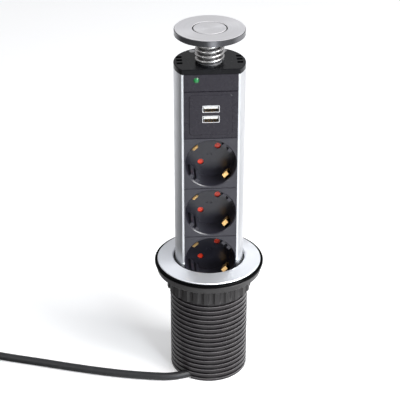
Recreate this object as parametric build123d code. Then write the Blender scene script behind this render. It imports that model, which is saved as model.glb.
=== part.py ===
from build123d import *
import math
import os

os.makedirs("parts", exist_ok=True)

# Millimetres, +Z up. The barrel stands on its bottom rim, on a surface at height zero,
# and the sockets face -Y.

# Fits, gaps and overruns
SLIDE_FIT = 0.06
LOOSE_FIT = 0.1
SEAT_GAP = 0.02
SEAM = 0.3
CUT_OVER = 4.0
EDGE = 0.5

# Barrel and its flange
BORE_GAP = 1.2
BARREL_WALL = 3.1
THREAD_DEPTH = 1.2
THREAD_PITCH = 4.4
THREAD_CREST = 2.3
THREAD_ROOT = 0.9
THREAD_LOW = 2.6
THREAD_STOP = 6.7
FLANGE_W = 15.17
FLANGE_LOW = 98.7
FLANGE_SEAT_T = 1.2
FLANGE_T = 2.3
FLANGE_LIP_T = 2.1
LEDGE_DROP = 1.0

# Trim ring, seal, washer and nut
TRIM_GAP = 1.5
TRIM_T = 4.5
TRIM_FALL = 2.5
TRIM_BEVEL = 0.9
SEAL_INSET = 3.07
SEAL_T = 1.5
WASHER_INSET = 0.57
WASHER_TAPER = 1.3
WASHER_DROP = 6.1
NUT_HEIGHT = 15.6
NUT_WALL = 2.6
NUT_GROOVE_DEPTH = 1.4
NUT_GROOVE_R = 3.2
NUT_COLLAR_T = 2.6
NUT_GROOVES = 24

# Tower: round profile, cut flat for the panels
TOWER_MARGIN = 7.8
PROFILE_WALL = 2.0
PLATE_T = 4.0
LIP_W = 1.593
PANEL_PROUD = 0.6
PANEL_T = 2.5
PANEL_MARGIN = 1.05
BOSS_INSET = 4.08
BOSS_DEG = 59
BOSS_R = 2.7
SCREW_R = 1.25
SCREW_HEAD_R = 2.5
SCREW_HEAD_T = 1.8
SCREW_LENGTH = 16.0
GROOVE_W = 4.0
GROOVE_DEPTH = 1.3
BACK_RIB_W = 9.0
BACK_RIB_REACH = 4.2

# Head plate slots
SLOT_INSET = 4.5
SLOT_YS = (-3.4, 2.6, 8.6)
SLOT_W = 3.6
SLOT_L = 4.4

# Pop up cap, stem and release button
CAP_INSET = 0.5
CAP_T = 5.0
POP_ROOM = 21.5
CAP_TRAVEL = 8.0
BUTTON_R = 12.45
BUTTON_HOLE_R = 13.3
BUTTON_T = 2.1
BUTTON_TRAVEL = 1.6
STEM_R = 8.4
STEM_DROP = 8.3
BUSHING_R = 9.4
BUSHING_DROP = 5.3
BUSHING_FLANGE_R = 12.5
BUSHING_FLANGE_T = 2.0
CLIP_R = 10.4
CLIP_T = 1.2
CLIP_GROOVE = 0.7
ROD_R = 3.0
ROD_DROP = 9.3
SPRING_WELL_R = 5.6
SPRING_WELL_DEPTH = 13.3

# Springs
POP_WIRE_D = 2.4
POP_MEAN_R = 10.0
POP_QUARTERS = 22
BUTTON_WIRE_D = 0.7
BUTTON_MEAN_R = 4.4
BUTTON_QUARTERS = 22

# Panels
LED_PANEL_H = 14.05
LED_X = -11.1
LED_DROP = 4.6
LED_R = 2.25
LED_DOME = 0.9
LED_FLANGE = 0.8
USB_BORDER = 5.8
WINDOW_INSET = 4.05
WINDOW_RISE = 0.35
WINDOW_ROUND = 2.5
INSERT_PROUD = 0.35
INSERT_T = 2.2
INSERT_LEDGE = 1.4
INSERT_LEDGE_T = 1.4
INSERT_WALL_T = 1.2
PORT_RISES = (-3.4, 5.1)
SHELL_W = 13.1
SHELL_H = 5.7
SHELL_T = 0.4
SHELL_DEPTH = 13.6
SHELL_ROUND = 0.6
TONGUE_W = 11.1
TONGUE_T = 2.2
TONGUE_INSET = 0.4
TONGUE_BASE_T = 2.0
USB_PIN_W = 1.0
USB_PIN_T = 0.3
USB_PIN_PITCH = 2.2
USB_PINS = 4
BOARD_T = 1.6
BOARD_INSET = 0.7
BOARD_BELOW = 14.1
BOARD_ABOVE = 10.4
CORE_WIDTH_SHARE = 0.9
CORE_HEIGHT_SHARE = 0.48
CORE_DEPTH_SHARE = 0.4
CAN_R_SHARE = 0.2
CAN_PLACE_SHARE = 0.74
CAN_DEPTH_SHARE = 0.42
CHOKE_DEPTH_SHARE = 0.2

# Sockets
SOCKETS = 3
SOCKET_BRIDGE = 4.0
BLANK_H = 33.15
RECESS_R = 19.6
RECESS_DEPTH = 17.5
RECESS_FLARE = 0.7
CUP_WALL = 0.95
FLOOR_T = 1.5
PIN_SPACING = 19.0
PIN_HOLE_R = 2.5
PIN_LINE_DEG = 45
RIB_DEPTH = 3.0
RIB_W = 9.0
RIB_SLOT_W = 2.5
RIB_SLOT_WALL = 0.7
RIB_SETBACK = 0.9
DIMPLE_R = 0.6
DIMPLE_X = 1.6
CLIP_SHEET_T = 0.9
CLIP_W = 4.6
CLIP_WINDOW_W = 6.4
CLIP_LEG_GAP = 0.6
CLIP_ENTRY = 1.9
CLIP_FOOT_INSET = 1.2
CLIP_FOOT = 3.5
CLIP_NOSE_INSET = 3.8
CLIP_NOSE = 5.2
CLIP_TIP_INSET = 1.7
CLIP_TIP = 3.4
CLIP_WINDOW_SETBACK = 2.6
CLIP_WINDOW_STOP = 0.5
BRIDGE_BEHIND = 2.5
SHUTTER_T = 1.3
SHUTTER_PAD_R = 3.3
SHUTTER_HUB_R = 3.0
SHUTTER_ARM_W = 4.4
PIVOT_R = 1.2
SHUTTER_ROOM_INSET = 1.7
SEAT_INSET = 1.0
CONTACT_PLATE_T = 2.0
TULIP_R = 3.1
TULIP_BORE_R = 2.45
TULIP_SETBACK = 0.2
TULIP_SLIT_W = 0.8
TULIP_SLIT_L = 6.0
SPINE_L = 2.75
RAIL_T = 1.2
RAIL_W = 6.0
RAIL_END = 5.0
EARTH_RAIL_T = 1.0
EARTH_RAIL_END = 16.8
CARRIER_T = 2.5
CARRIER_GAP = 0.51
CARRIER_END = 10.8
SPINE_W = 4.0
POST_R = 1.8

# Guide ring, wiper, bottom cap and gland
GUIDE_LENGTH = 25.7
GUIDE_COLLAR_T = 1.0
KEY_W = 3.9
KEY_REACH = 1.1
WIPER_T = 2.5
STOP_FLANGE_GAP = 0.1
STOP_FLANGE_T = 4.0
BOTTOM_CAP_INSET = 0.9
BOTTOM_CAP_H = 14.0
GLAND_R = 6.0
GLAND_NECK_R = 4.6
GLAND_NUT_T = 6.0
GLAND_TIP_R = 4.3
GLAND_LOW = 26.5
GLAND_H = 13.5
WIRE_R = 1.1
WIRE_LOW_SHARE = 0.25
WIRE_HIGH_SHARE = 0.9

# Cord, its exit under the rim and its put away coil
CORD_D = 6.6
EXIT_INSET = 1.246
EXIT_AT_DEG = 231.4
EXIT_DEG = 202
NOTCH_FIT = 0.35
NOTCH_HALF_LENGTH = 7.0
LEAD_REACH = 28.0
LEAD_BEND_SHARE = 0.905
FIRST_RUN = 12.0
COIL_X = -240.0
COIL_Y = -16.0
COIL_R = 45.0
COIL_TURN_STEP = 8.2
COIL_LAYER_STEP = 7.1
COIL_IN_HALVES = 5
COIL_OUT_HALVES = 4
COIL_STUB = 7.0
TIE_T = 0.6
TIE_W = 10.0
TIE_SLACK = 0.5
TAIL_START = 12.0
CORNER_SHARE = 0.45

# Plug
PLUG_R = 18.5
PLUG_LENGTH = 36.0
PLUG_REAR_TAPER = 4.0
PLUG_WAIST_TAPER = 2.3
PLUG_RISE = 0.1
BOOT_LENGTH = 28.0
BOOT_R = 8.0
BOOT_TIP_R = 4.5
BOOT_X = -299.0
BOOT_Y = 15.0
PLUG_PIN_R = 2.4
PLUG_PIN_LENGTH = 19.0
PLUG_GROOVE_W = 8.4
PLUG_GROOVE_DEPTH = 2.6
PLUG_GROOVE_L = 20.0
PLUG_STRIP_W = 4.2
PLUG_STRIP_T = 0.8
PLUG_STRIP_L = 17.0
PLUG_GRIP_SHARE = 0.45
PLUG_WAIST_SHARE = 0.3

# Worked out from these
TOWER_R = RECESS_R + TOWER_MARGIN
PANEL_HALF = RECESS_R + PANEL_MARGIN
LIP_Y = -math.sqrt(TOWER_R * TOWER_R - (PANEL_HALF + LIP_W) * (PANEL_HALF + LIP_W))
PANEL_FRONT = LIP_Y - PANEL_PROUD
PANEL_BACK = PANEL_FRONT + PANEL_T
BORE_R = TOWER_R + BORE_GAP
THREAD_R = BORE_R + BARREL_WALL
TRIM_BORE_R = TOWER_R + TRIM_GAP
FLANGE_R = TRIM_BORE_R + FLANGE_W
SEAL_R = FLANGE_R - SEAL_INSET
WASHER_R = FLANGE_R - WASHER_INSET
WASHER_LOW_R = WASHER_R - WASHER_TAPER
NUT_R = THREAD_R + NUT_WALL
STOP_FLANGE_R = BORE_R - STOP_FLANGE_GAP
BOTTOM_CAP_R = TOWER_R - BOTTOM_CAP_INSET
CAP_R = TOWER_R - CAP_INSET
SLOT_X = TOWER_R - SLOT_INSET
BOSS_X = (TOWER_R - BOSS_INSET) * math.cos(math.radians(BOSS_DEG))
BOSS_Y = (TOWER_R - BOSS_INSET) * math.sin(math.radians(BOSS_DEG))
BACK_RIB_FRONT = TOWER_R - BACK_RIB_REACH
CARRIER_HALF = BOSS_X - BOSS_R - CARRIER_GAP

FLANGE_SEAT = FLANGE_LOW + FLANGE_SEAT_T
FLANGE_LIP_TOP = FLANGE_LOW + FLANGE_T
COLLAR_LEDGE = FLANGE_LOW - LEDGE_DROP
TRIM_TOP = FLANGE_SEAT + TRIM_T
TRIM_EDGE_TOP = TRIM_TOP - TRIM_FALL
THREAD_HIGH = FLANGE_LOW - THREAD_STOP
WASHER_LOW = FLANGE_LOW - WASHER_DROP
NUT_LOW = WASHER_LOW - NUT_HEIGHT
GUIDE_LOW = COLLAR_LEDGE - GUIDE_LENGTH
WIPER_TOP = COLLAR_LEDGE + GUIDE_COLLAR_T + WIPER_T

BOTTOM_CAP_LOW = GLAND_LOW + GLAND_H
PROFILE_LOW = BOTTOM_CAP_LOW + BOTTOM_CAP_H
WINDOW_HALF = PANEL_HALF - WINDOW_INSET
BOARD_HALF = WINDOW_HALF - BOARD_INSET
SOCKET_PITCH = 2 * RECESS_R + SOCKET_BRIDGE
LAST_SOCKET_LOW = PROFILE_LOW + BLANK_H
SOCKET_ZS = [LAST_SOCKET_LOW + SOCKET_PITCH * (SOCKETS - n - 0.5) for n in range(SOCKETS)]
USB_PANEL_LOW = LAST_SOCKET_LOW + SOCKET_PITCH * SOCKETS
LED_PANEL_LOW = USB_PANEL_LOW + 2 * WINDOW_HALF + USB_BORDER
WINDOW_Z = (USB_PANEL_LOW + LED_PANEL_LOW) / 2 + WINDOW_RISE
PORT_ZS = [WINDOW_Z + rise for rise in PORT_RISES]
BOARD_LOW = WINDOW_Z - BOARD_BELOW
BOARD_HIGH = WINDOW_Z + BOARD_ABOVE
PLATE_LOW = LED_PANEL_LOW + LED_PANEL_H
PLATE_TOP = PLATE_LOW + PLATE_T
LED_Z = PLATE_LOW - LED_DROP
CAP_LOW = PLATE_TOP + POP_ROOM
CAP_TOP = CAP_LOW + CAP_T
STEM_LOW = PLATE_LOW - STEM_DROP
STEM_TOP = CAP_TOP - BUTTON_T - BUTTON_TRAVEL - LOOSE_FIT
BUSHING_LOW = PLATE_LOW - BUSHING_DROP
ROD_LOW = PLATE_LOW - ROD_DROP
SPRING_WELL_LOW = CAP_TOP - SPRING_WELL_DEPTH
TOWER_TRAVEL = CAP_TOP - CAP_TRAVEL - TRIM_TOP
KEY_TOP = PLATE_LOW - TOWER_TRAVEL - LOOSE_FIT
LIFT_LEFT = GUIDE_LOW - PROFILE_LOW

FLOOR_FRONT = PANEL_FRONT + RECESS_DEPTH
FLOOR_BACK = FLOOR_FRONT + FLOOR_T
SHUTTER_FRONT = FLOOR_BACK + LOOSE_FIT
SHUTTER_BACK = SHUTTER_FRONT + SHUTTER_T
CONTACT_PLATE_FRONT = SHUTTER_BACK + LOOSE_FIT
SKIRT_BACK = CONTACT_PLATE_FRONT + CONTACT_PLATE_T
SHELL_BACK = PANEL_FRONT + SHELL_DEPTH
CUP_R = RECESS_R + CUP_WALL
RIB_R = RECESS_R - RIB_DEPTH
RIB_SLOT_R = RECESS_R - RIB_SLOT_WALL
SHUTTER_ROOM_R = RECESS_R - SHUTTER_ROOM_INSET
SEAT_R = RECESS_R - SEAT_INSET
PIN_X = PIN_SPACING / 2 * math.cos(math.radians(PIN_LINE_DEG))
PIN_Z = PIN_SPACING / 2 * math.sin(math.radians(PIN_LINE_DEG))
WINDOW_FRONT = PANEL_FRONT + CLIP_WINDOW_SETBACK
WINDOW_BACK = FLOOR_FRONT - CLIP_WINDOW_STOP
TULIP_FRONT = CONTACT_PLATE_FRONT + TULIP_SETBACK
EARTH_RAIL_BACK = BACK_RIB_FRONT - SPINE_L - CARRIER_T
EARTH_RAIL_FRONT = EARTH_RAIL_BACK - EARTH_RAIL_T
BRIDGE_Y = EARTH_RAIL_FRONT - CLIP_SHEET_T / 2
RAIL_FRONT = BRIDGE_Y - BRIDGE_BEHIND
RAIL_BACK = RAIL_FRONT + RAIL_T

EXIT_WAY = Vector(math.cos(math.radians(EXIT_DEG)), math.sin(math.radians(EXIT_DEG)), 0)
EXIT_X = (THREAD_R - EXIT_INSET) * math.cos(math.radians(EXIT_AT_DEG))
EXIT_Y = (THREAD_R - EXIT_INSET) * math.sin(math.radians(EXIT_AT_DEG))
EXIT = Vector(EXIT_X, EXIT_Y, CORD_D / 2)
GLAND = EXIT - EXIT_WAY * LEAD_REACH
LEAD_BEND_R = (GLAND_LOW - CORD_D / 2) * LEAD_BEND_SHARE
COIL_Z = CORD_D / 2 + TIE_T + LOOSE_FIT
PLUG_Z = PLUG_R + PLUG_RISE
PLUG_REAR_R = PLUG_R - PLUG_REAR_TAPER
PLUG_WAIST_R = PLUG_R - PLUG_WAIST_TAPER

print("tower slide", -TOWER_TRAVEL, "to", LIFT_LEFT - LOOSE_FIT / 2)
print("cap pop", -CAP_TRAVEL, "button", -BUTTON_TRAVEL, "nut rad per m", 2 * math.pi / THREAD_PITCH * 1000)


# Shapes that several pieces share


def lathe(points):
    """A solid turned round the Z axis from (radius, height) points."""
    return revolve(Plane.XZ * make_face(Polyline(*points, close=True)), Axis.Z)


def ring(outer_r, inner_r, low, high):
    """A plain ring between two heights."""
    return Pos(0, 0, low) * extrude(Circle(outer_r) - Circle(inner_r), high - low)


def rod(radius, low, high, x=0, y=0):
    """A plain rod standing between two heights."""
    return Pos(x, y, low) * extrude(Circle(radius), high - low)


def block(low, high):
    """A block from its lowest to its highest corner."""
    size = [b - a for a, b in zip(low, high)]
    return Pos(*low) * Box(*size, align=(Align.MIN, Align.MIN, Align.MIN))


def rod_y(radius, front, back, x=0, z=0):
    """A rod along Y, from its front to its back."""
    return Pos(x, back, z) * Rot(90, 0, 0) * extrude(Circle(radius), back - front)


def turned(shape, degrees):
    """A socket's piece turned about the socket's own axis, from +X towards +Z."""
    return Rot(0, -degrees, 0) * shape


def bent_strip(points, thick, width):
    """A bent strip of sheet whose middle follows points in the XY plane."""
    middle = [Vector(*point) for point in points]
    ways = [(b - a).normalized() for a, b in zip(middle, middle[1:])]
    one_side = []
    other_side = []
    for before, after, point in zip(ways[:1] + ways, ways + ways[-1:], middle):
        across = Vector(-(before.Y + after.Y), before.X + after.X, 0).normalized()
        reach = thick / 2 / across.dot(Vector(-after.Y, after.X, 0))
        one_side.append(point + across * reach)
        other_side.append(point - across * reach)
    outline = one_side + other_side[::-1]
    return extrude(make_face(Polyline(*outline, close=True)), width / 2, both=True)


def biarc(start, start_way, end, end_way):
    """Two arcs that join one point and heading to another without a corner."""
    span = end - start
    ways = start_way + end_way
    room = 2 * (1 - start_way.dot(end_way))
    along = span.dot(ways)
    reach = (-along + math.sqrt(along * along + room * span.dot(span))) / room
    one = start + start_way * reach
    other = end - end_way * reach
    middle = (one + other) * 0.5
    middle_way = (other - one).normalized()
    return [TangentArc(start, middle, tangent=start_way), TangentArc(middle, end, tangent=middle_way)]


def swept(edges, diameter):
    """A round tube along the edges, from the first one's start."""
    path = Wire(edges)
    start = Plane(path @ 0, z_dir=path % 0)
    tube = sweep(start * Circle(diameter / 2), path=path)
    fill = tube.volume / (math.pi * diameter * diameter / 4 * path.length)
    print("tube length", round(path.length, 2), "volume over section times length", round(fill, 4))
    return tube


def least_gap(edges, diameter, steps=6):
    """The least gap between two stretches of a tube that are over three diameters apart along it."""
    points = []
    length = 0
    for edge in edges:
        for step in range(steps):
            points.append((length + edge.length * step / steps, edge @ (step / steps)))
        length += edge.length
    far = [
        (a - b).length
        for i, (at, a) in enumerate(points)
        for other, b in points[i + 1 :]
        if other - at > 3 * diameter
    ]
    return min(far) - diameter


def routed(points, radii, diameter):
    """A cord through corner points, each rounded by its radius."""
    path = FilletPolyline(*points, radius=radii)
    return swept(path.edges(), diameter)


def corner_radii(points):
    """The radius of each corner of a cord's route."""
    radii = []
    for a, b, c in zip(points, points[1:], points[2:]):
        turn = (b - a).get_angle(c - b)
        radii.append(CORNER_SHARE * min((b - a).length, (c - b).length) / math.tan(math.radians(turn) / 2))
    return radii


def wound_spring(wire_d, mean_r, low, high, quarters):
    """A compression spring whose first and last quarter turns lie flat on their seats."""
    bottom = low + wire_d / 2
    rise = (high - wire_d / 2 - bottom) / (quarters - 2)
    slope = rise / (mean_r * math.pi / 2)
    heights = [bottom] + [bottom + rise * n for n in range(quarters - 1)] + [high - wire_d / 2]
    edges = []
    for n in range(quarters):
        turns = [math.pi / 2 * n, math.pi / 2 * (n + 1)]
        ends = [
            Vector(mean_r * math.cos(a), mean_r * math.sin(a), z) for a, z in zip(turns, heights[n : n + 2])
        ]
        slopes = [0 if at in (0, 1, quarters - 1, quarters) else slope for at in (n, n + 1)]
        ways = [Vector(-math.sin(a), math.cos(a), s).normalized() for a, s in zip(turns, slopes)]
        edges += biarc(ends[0], ways[0], ends[1], ways[1])
    print("spring least gap", round(least_gap(edges, wire_d), 2))
    return swept(edges, wire_d)


# Barrel, flange, nut and what stays put in the desk


def threaded_barrel():
    """The sleeve with its ring shaped thread, top flange and the notch for the cord."""
    flank = (THREAD_PITCH - THREAD_CREST - THREAD_ROOT) / 2
    root_r = THREAD_R - THREAD_DEPTH
    outline = [(BORE_R, 0), (THREAD_R - EDGE, 0), (THREAD_R, EDGE)]
    grooves = int((THREAD_HIGH - THREAD_LOW) / THREAD_PITCH)
    for n in range(grooves):
        low = THREAD_LOW + THREAD_PITCH * n
        outline += [(THREAD_R, low), (root_r, low + flank)]
        outline += [(root_r, low + flank + THREAD_ROOT), (THREAD_R, low + 2 * flank + THREAD_ROOT)]
    lip_r = FLANGE_R - FLANGE_LIP_T
    outline += [
        (THREAD_R, FLANGE_LOW),
        (FLANGE_R - EDGE, FLANGE_LOW),
        (FLANGE_R, FLANGE_LOW + EDGE),
        (FLANGE_R, FLANGE_LIP_TOP - EDGE),
        (FLANGE_R - EDGE, FLANGE_LIP_TOP),
        (lip_r, FLANGE_LIP_TOP),
        (lip_r, FLANGE_SEAT),
        (TRIM_BORE_R, FLANGE_SEAT),
        (TRIM_BORE_R, COLLAR_LEDGE),
        (BORE_R, COLLAR_LEDGE),
    ]
    barrel = lathe(outline)
    notch_r = CORD_D / 2 + NOTCH_FIT
    across = Plane(EXIT - EXIT_WAY * NOTCH_HALF_LENGTH, z_dir=EXIT_WAY)
    barrel -= extrude(across * Circle(notch_r), 2 * NOTCH_HALF_LENGTH)
    mouth = block(
        (-NOTCH_HALF_LENGTH, -notch_r, -CUT_OVER),
        (NOTCH_HALF_LENGTH, notch_r, CORD_D / 2),
    )
    barrel -= Pos(EXIT_X, EXIT_Y, 0) * Rot(0, 0, EXIT_DEG) * mouth
    return barrel


def trim_ring():
    """The metal ring that lies in the flange, falling slightly to its rim."""
    outer_r = FLANGE_R - FLANGE_LIP_T - LOOSE_FIT
    return lathe(
        [
            (TRIM_BORE_R, FLANGE_SEAT),
            (outer_r, FLANGE_SEAT),
            (outer_r, TRIM_EDGE_TOP - TRIM_BEVEL / 2),
            (outer_r - TRIM_BEVEL / 2, TRIM_EDGE_TOP),
            (TRIM_BORE_R + TRIM_BEVEL, TRIM_TOP),
            (TRIM_BORE_R, TRIM_TOP - TRIM_BEVEL),
        ]
    )


def flange_seal():
    """The soft ring under the flange, in the washer's recess."""
    return ring(SEAL_R, THREAD_R + LOOSE_FIT, FLANGE_LOW - SEAL_T, FLANGE_LOW)


def clamp_washer():
    """The loose washer between the desk and the nut."""
    bore_r = THREAD_R + LOOSE_FIT
    top = FLANGE_LOW - LOOSE_FIT
    recess_r = SEAL_R + LOOSE_FIT
    recess_floor = FLANGE_LOW - SEAL_T - SEAT_GAP
    return lathe(
        [
            (bore_r, WASHER_LOW),
            (WASHER_LOW_R - EDGE, WASHER_LOW),
            (WASHER_LOW_R, WASHER_LOW + EDGE),
            (WASHER_R, top - EDGE),
            (WASHER_R - EDGE, top),
            (recess_r, top),
            (recess_r, recess_floor),
            (bore_r, recess_floor),
        ]
    )


def clamp_nut():
    """The hand nut with its upright, hollow grip grooves."""
    top = WASHER_LOW - SEAT_GAP
    nut = ring(NUT_R, THREAD_R + LOOSE_FIT, NUT_LOW, top)
    groove_x = NUT_R - NUT_GROOVE_DEPTH + NUT_GROOVE_R
    groove = rod(NUT_GROOVE_R, NUT_LOW - CUT_OVER, top - NUT_COLLAR_T, groove_x)
    for n in range(NUT_GROOVES):
        nut -= Rot(0, 0, 360 / NUT_GROOVES * n) * groove
    return nut


def guide_ring():
    """The plastic sleeve that guides the tower, with the key that stops it turning."""
    bore_r = TOWER_R + SLIDE_FIT
    collar_low = COLLAR_LEDGE
    guide = ring(BORE_R - SEAT_GAP, bore_r, GUIDE_LOW, collar_low)
    guide += ring(TRIM_BORE_R - LOOSE_FIT, bore_r, collar_low, collar_low + GUIDE_COLLAR_T)
    key = block(
        (-KEY_W / 2, TOWER_R - KEY_REACH, GUIDE_LOW),
        (KEY_W / 2, (BORE_R + bore_r) / 2, KEY_TOP),
    )
    return guide + key


def wiper_ring():
    """The soft ring that closes the gap between the tower and the trim ring."""
    return ring(TRIM_BORE_R - SEAT_GAP, TOWER_R + LOOSE_FIT, COLLAR_LEDGE + GUIDE_COLLAR_T, WIPER_TOP)


# The tower's shell


def tower_profile():
    """The aluminium extrusion: round, open in front, with screw bosses and a key groove."""
    inner_r = TOWER_R - PROFILE_WALL
    section = Circle(TOWER_R) - Circle(inner_r)
    for side in (-1, 1):
        section += Pos(side * BOSS_X, BOSS_Y) * Circle(BOSS_R)
    rib_depth = (inner_r + TOWER_R) / 2 - BACK_RIB_FRONT
    section += Pos(0, BACK_RIB_FRONT + rib_depth / 2) * Rectangle(BACK_RIB_W, rib_depth)
    for side in (-1, 1):
        section -= Pos(side * BOSS_X, BOSS_Y) * Circle(SCREW_R)
    groove = Rectangle(GROOVE_W, GROOVE_DEPTH + CUT_OVER, align=(Align.CENTER, Align.MIN))
    section -= Pos(0, TOWER_R - GROOVE_DEPTH) * groove
    section -= Pos(0, LIP_Y) * Rectangle(2 * TOWER_R, TOWER_R, align=(Align.CENTER, Align.MAX))
    section -= Pos(0, PANEL_BACK) * Rectangle(2 * PANEL_HALF, TOWER_R, align=(Align.CENTER, Align.MAX))
    return Pos(0, 0, PROFILE_LOW) * extrude(section, PLATE_LOW - PROFILE_LOW)


def screw_places():
    return [(side * BOSS_X, BOSS_Y) for side in (-1, 1)]


def head_plate():
    """The black plate on top of the tower, cut flat in front."""
    front = Pos(0, PANEL_FRONT) * Rectangle(2 * TOWER_R, TOWER_R, align=(Align.CENTER, Align.MAX))
    plate = extrude(Circle(TOWER_R) - front, PLATE_T)
    plate = chamfer(plate.faces().sort_by(Axis.Z)[-1].edges(), EDGE)
    plate = Pos(0, 0, PLATE_LOW) * plate
    plate -= rod(BUSHING_R, PLATE_LOW - CUT_OVER, PLATE_TOP + CUT_OVER)
    for x, y in screw_places():
        plate -= rod(SCREW_R, PLATE_LOW - CUT_OVER, PLATE_TOP, x, y)
        plate -= rod(SCREW_HEAD_R + LOOSE_FIT, PLATE_TOP - SCREW_HEAD_T, PLATE_TOP + CUT_OVER, x, y)
    for side in (-1, 1):
        for y in SLOT_YS:
            plate -= block(
                (side * SLOT_X - SLOT_L / 2, y - SLOT_W / 2, PLATE_LOW + EDGE),
                (side * SLOT_X + SLOT_L / 2, y + SLOT_W / 2, PLATE_TOP + CUT_OVER),
            )
    return plate


def screw(x, y, seat, way):
    """A screw whose head's flat side is at the seat and whose shank runs the given way."""
    head_far = seat - way * SCREW_HEAD_T
    tip = seat + way * SCREW_LENGTH
    head = rod(SCREW_HEAD_R, min(seat, head_far), max(seat, head_far), x, y)
    shank = rod(SCREW_R - SEAT_GAP, min(seat, tip), max(seat, tip), x, y)
    slot = Rectangle(2 * SCREW_HEAD_R + CUT_OVER, SCREW_HEAD_R / 3)
    slot_low = min(head_far, head_far + way * SCREW_HEAD_T / 2)
    return head + shank - Pos(x, y, slot_low) * extrude(slot, SCREW_HEAD_T / 2)


def head_screws():
    return [screw(x, y, PLATE_TOP - SCREW_HEAD_T, -1) for x, y in screw_places()]


def bottom_screws():
    return [screw(x, y, BOTTOM_CAP_LOW + SCREW_HEAD_T, 1) for x, y in screw_places()]


def bottom_cap():
    """The tower's lower end, with the flange that stops it at the top of its travel."""
    flange_low = PROFILE_LOW - STOP_FLANGE_T
    cap = rod(STOP_FLANGE_R, flange_low, PROFILE_LOW) + rod(BOTTOM_CAP_R, BOTTOM_CAP_LOW, flange_low)
    cap = chamfer(cap.faces().sort_by(Axis.Z)[0].edges(), 2 * EDGE)
    for x, y in screw_places():
        cap -= rod(SCREW_R, BOTTOM_CAP_LOW, PROFILE_LOW + CUT_OVER, x, y)
        cap -= rod(SCREW_HEAD_R + LOOSE_FIT, BOTTOM_CAP_LOW - CUT_OVER, BOTTOM_CAP_LOW + SCREW_HEAD_T, x, y)
    cap -= rod(GLAND_NECK_R, BOTTOM_CAP_LOW - CUT_OVER, PROFILE_LOW - STOP_FLANGE_T / 2, GLAND.X, GLAND.Y)
    return cap


def cable_gland():
    """The gland that clamps the cord in the bottom cap, with its tapered boot."""
    boot_top = BOTTOM_CAP_LOW - GLAND_NUT_T
    gland = lathe(
        [
            (0, GLAND_LOW),
            (GLAND_TIP_R, GLAND_LOW),
            (GLAND_R - EDGE, boot_top),
            (GLAND_R, boot_top),
            (GLAND_R, BOTTOM_CAP_LOW),
            (GLAND_NECK_R - SEAT_GAP, BOTTOM_CAP_LOW),
            (GLAND_NECK_R - SEAT_GAP, PROFILE_LOW - STOP_FLANGE_T / 2),
            (0, PROFILE_LOW - STOP_FLANGE_T / 2),
        ]
    )
    return Pos(GLAND.X, GLAND.Y, 0) * gland


# The head: cap, stem, button and springs


def stem_bushing():
    """The sleeve in the head plate that the stem slides in."""
    bore_r = STEM_R + SLIDE_FIT
    bushing = ring(BUSHING_R - SEAT_GAP, bore_r, BUSHING_LOW, PLATE_TOP)
    return bushing + ring(BUSHING_FLANGE_R, bore_r, PLATE_LOW - BUSHING_FLANGE_T, PLATE_LOW)


def clip_heights():
    high = BUSHING_LOW - LOOSE_FIT
    return high - CLIP_T, high


def cap_stem():
    """The hollow stem under the cap, with the well for the button's spring."""
    low, high = clip_heights()
    stem = rod(STEM_R, STEM_LOW, STEM_TOP)
    stem -= rod(ROD_R + SLIDE_FIT, STEM_LOW - CUT_OVER, STEM_TOP + CUT_OVER)
    stem -= rod(SPRING_WELL_R, SPRING_WELL_LOW, STEM_TOP + CUT_OVER)
    return stem - ring(STEM_R + CUT_OVER, STEM_R - CLIP_GROOVE, low, high)


def stem_clip():
    """The open clip that keeps the stem from coming out of its bushing."""
    low, high = clip_heights()
    clip = ring(CLIP_R, STEM_R - CLIP_GROOVE, low, high)
    return clip - block((0, -CLIP_T, low - CUT_OVER), (CLIP_R + CUT_OVER, CLIP_T, high + CUT_OVER))


def cap_disc():
    """The cap that is flush with the trim ring when the tower is closed."""
    return lathe(
        [
            (STEM_R, CAP_LOW),
            (CAP_R - EDGE, CAP_LOW),
            (CAP_R, CAP_LOW + EDGE),
            (CAP_R, CAP_TOP - EDGE),
            (CAP_R - EDGE, CAP_TOP),
            (BUTTON_HOLE_R + EDGE / 2, CAP_TOP),
            (BUTTON_HOLE_R, CAP_TOP - EDGE / 2),
            (BUTTON_HOLE_R, STEM_TOP),
            (STEM_R, STEM_TOP),
        ]
    )


def button_disc():
    """The release button in the middle of the cap."""
    low = CAP_TOP - BUTTON_T
    rounded = EDGE / 2
    return lathe(
        [
            (0, low),
            (BUTTON_R, low),
            (BUTTON_R, CAP_TOP - rounded),
            (BUTTON_R - rounded, CAP_TOP),
            (0, CAP_TOP),
        ]
    )


def button_rod():
    """The rod that carries the button's push down through the stem."""
    rod_piece = rod(ROD_R, ROD_LOW, CAP_TOP - BUTTON_T)
    return chamfer(rod_piece.faces().sort_by(Axis.Z)[0].edges(), EDGE)


# The LED and USB panels


def panel(low, high):
    """A flat front panel between two heights, with a seam at each end."""
    plate = block((-PANEL_HALF, PANEL_FRONT, low + SEAM / 2), (PANEL_HALF, PANEL_BACK, high - SEAM / 2))
    front = plate.faces().sort_by(Axis.Y)[0]
    return chamfer(front.edges().filter_by(Axis.X), SEAM)


def led_panel():
    plate = panel(LED_PANEL_LOW, PLATE_LOW)
    return plate - rod_y(LED_R + SEAT_GAP, PANEL_FRONT - CUT_OVER, PANEL_BACK + CUT_OVER, LED_X, LED_Z)


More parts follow.
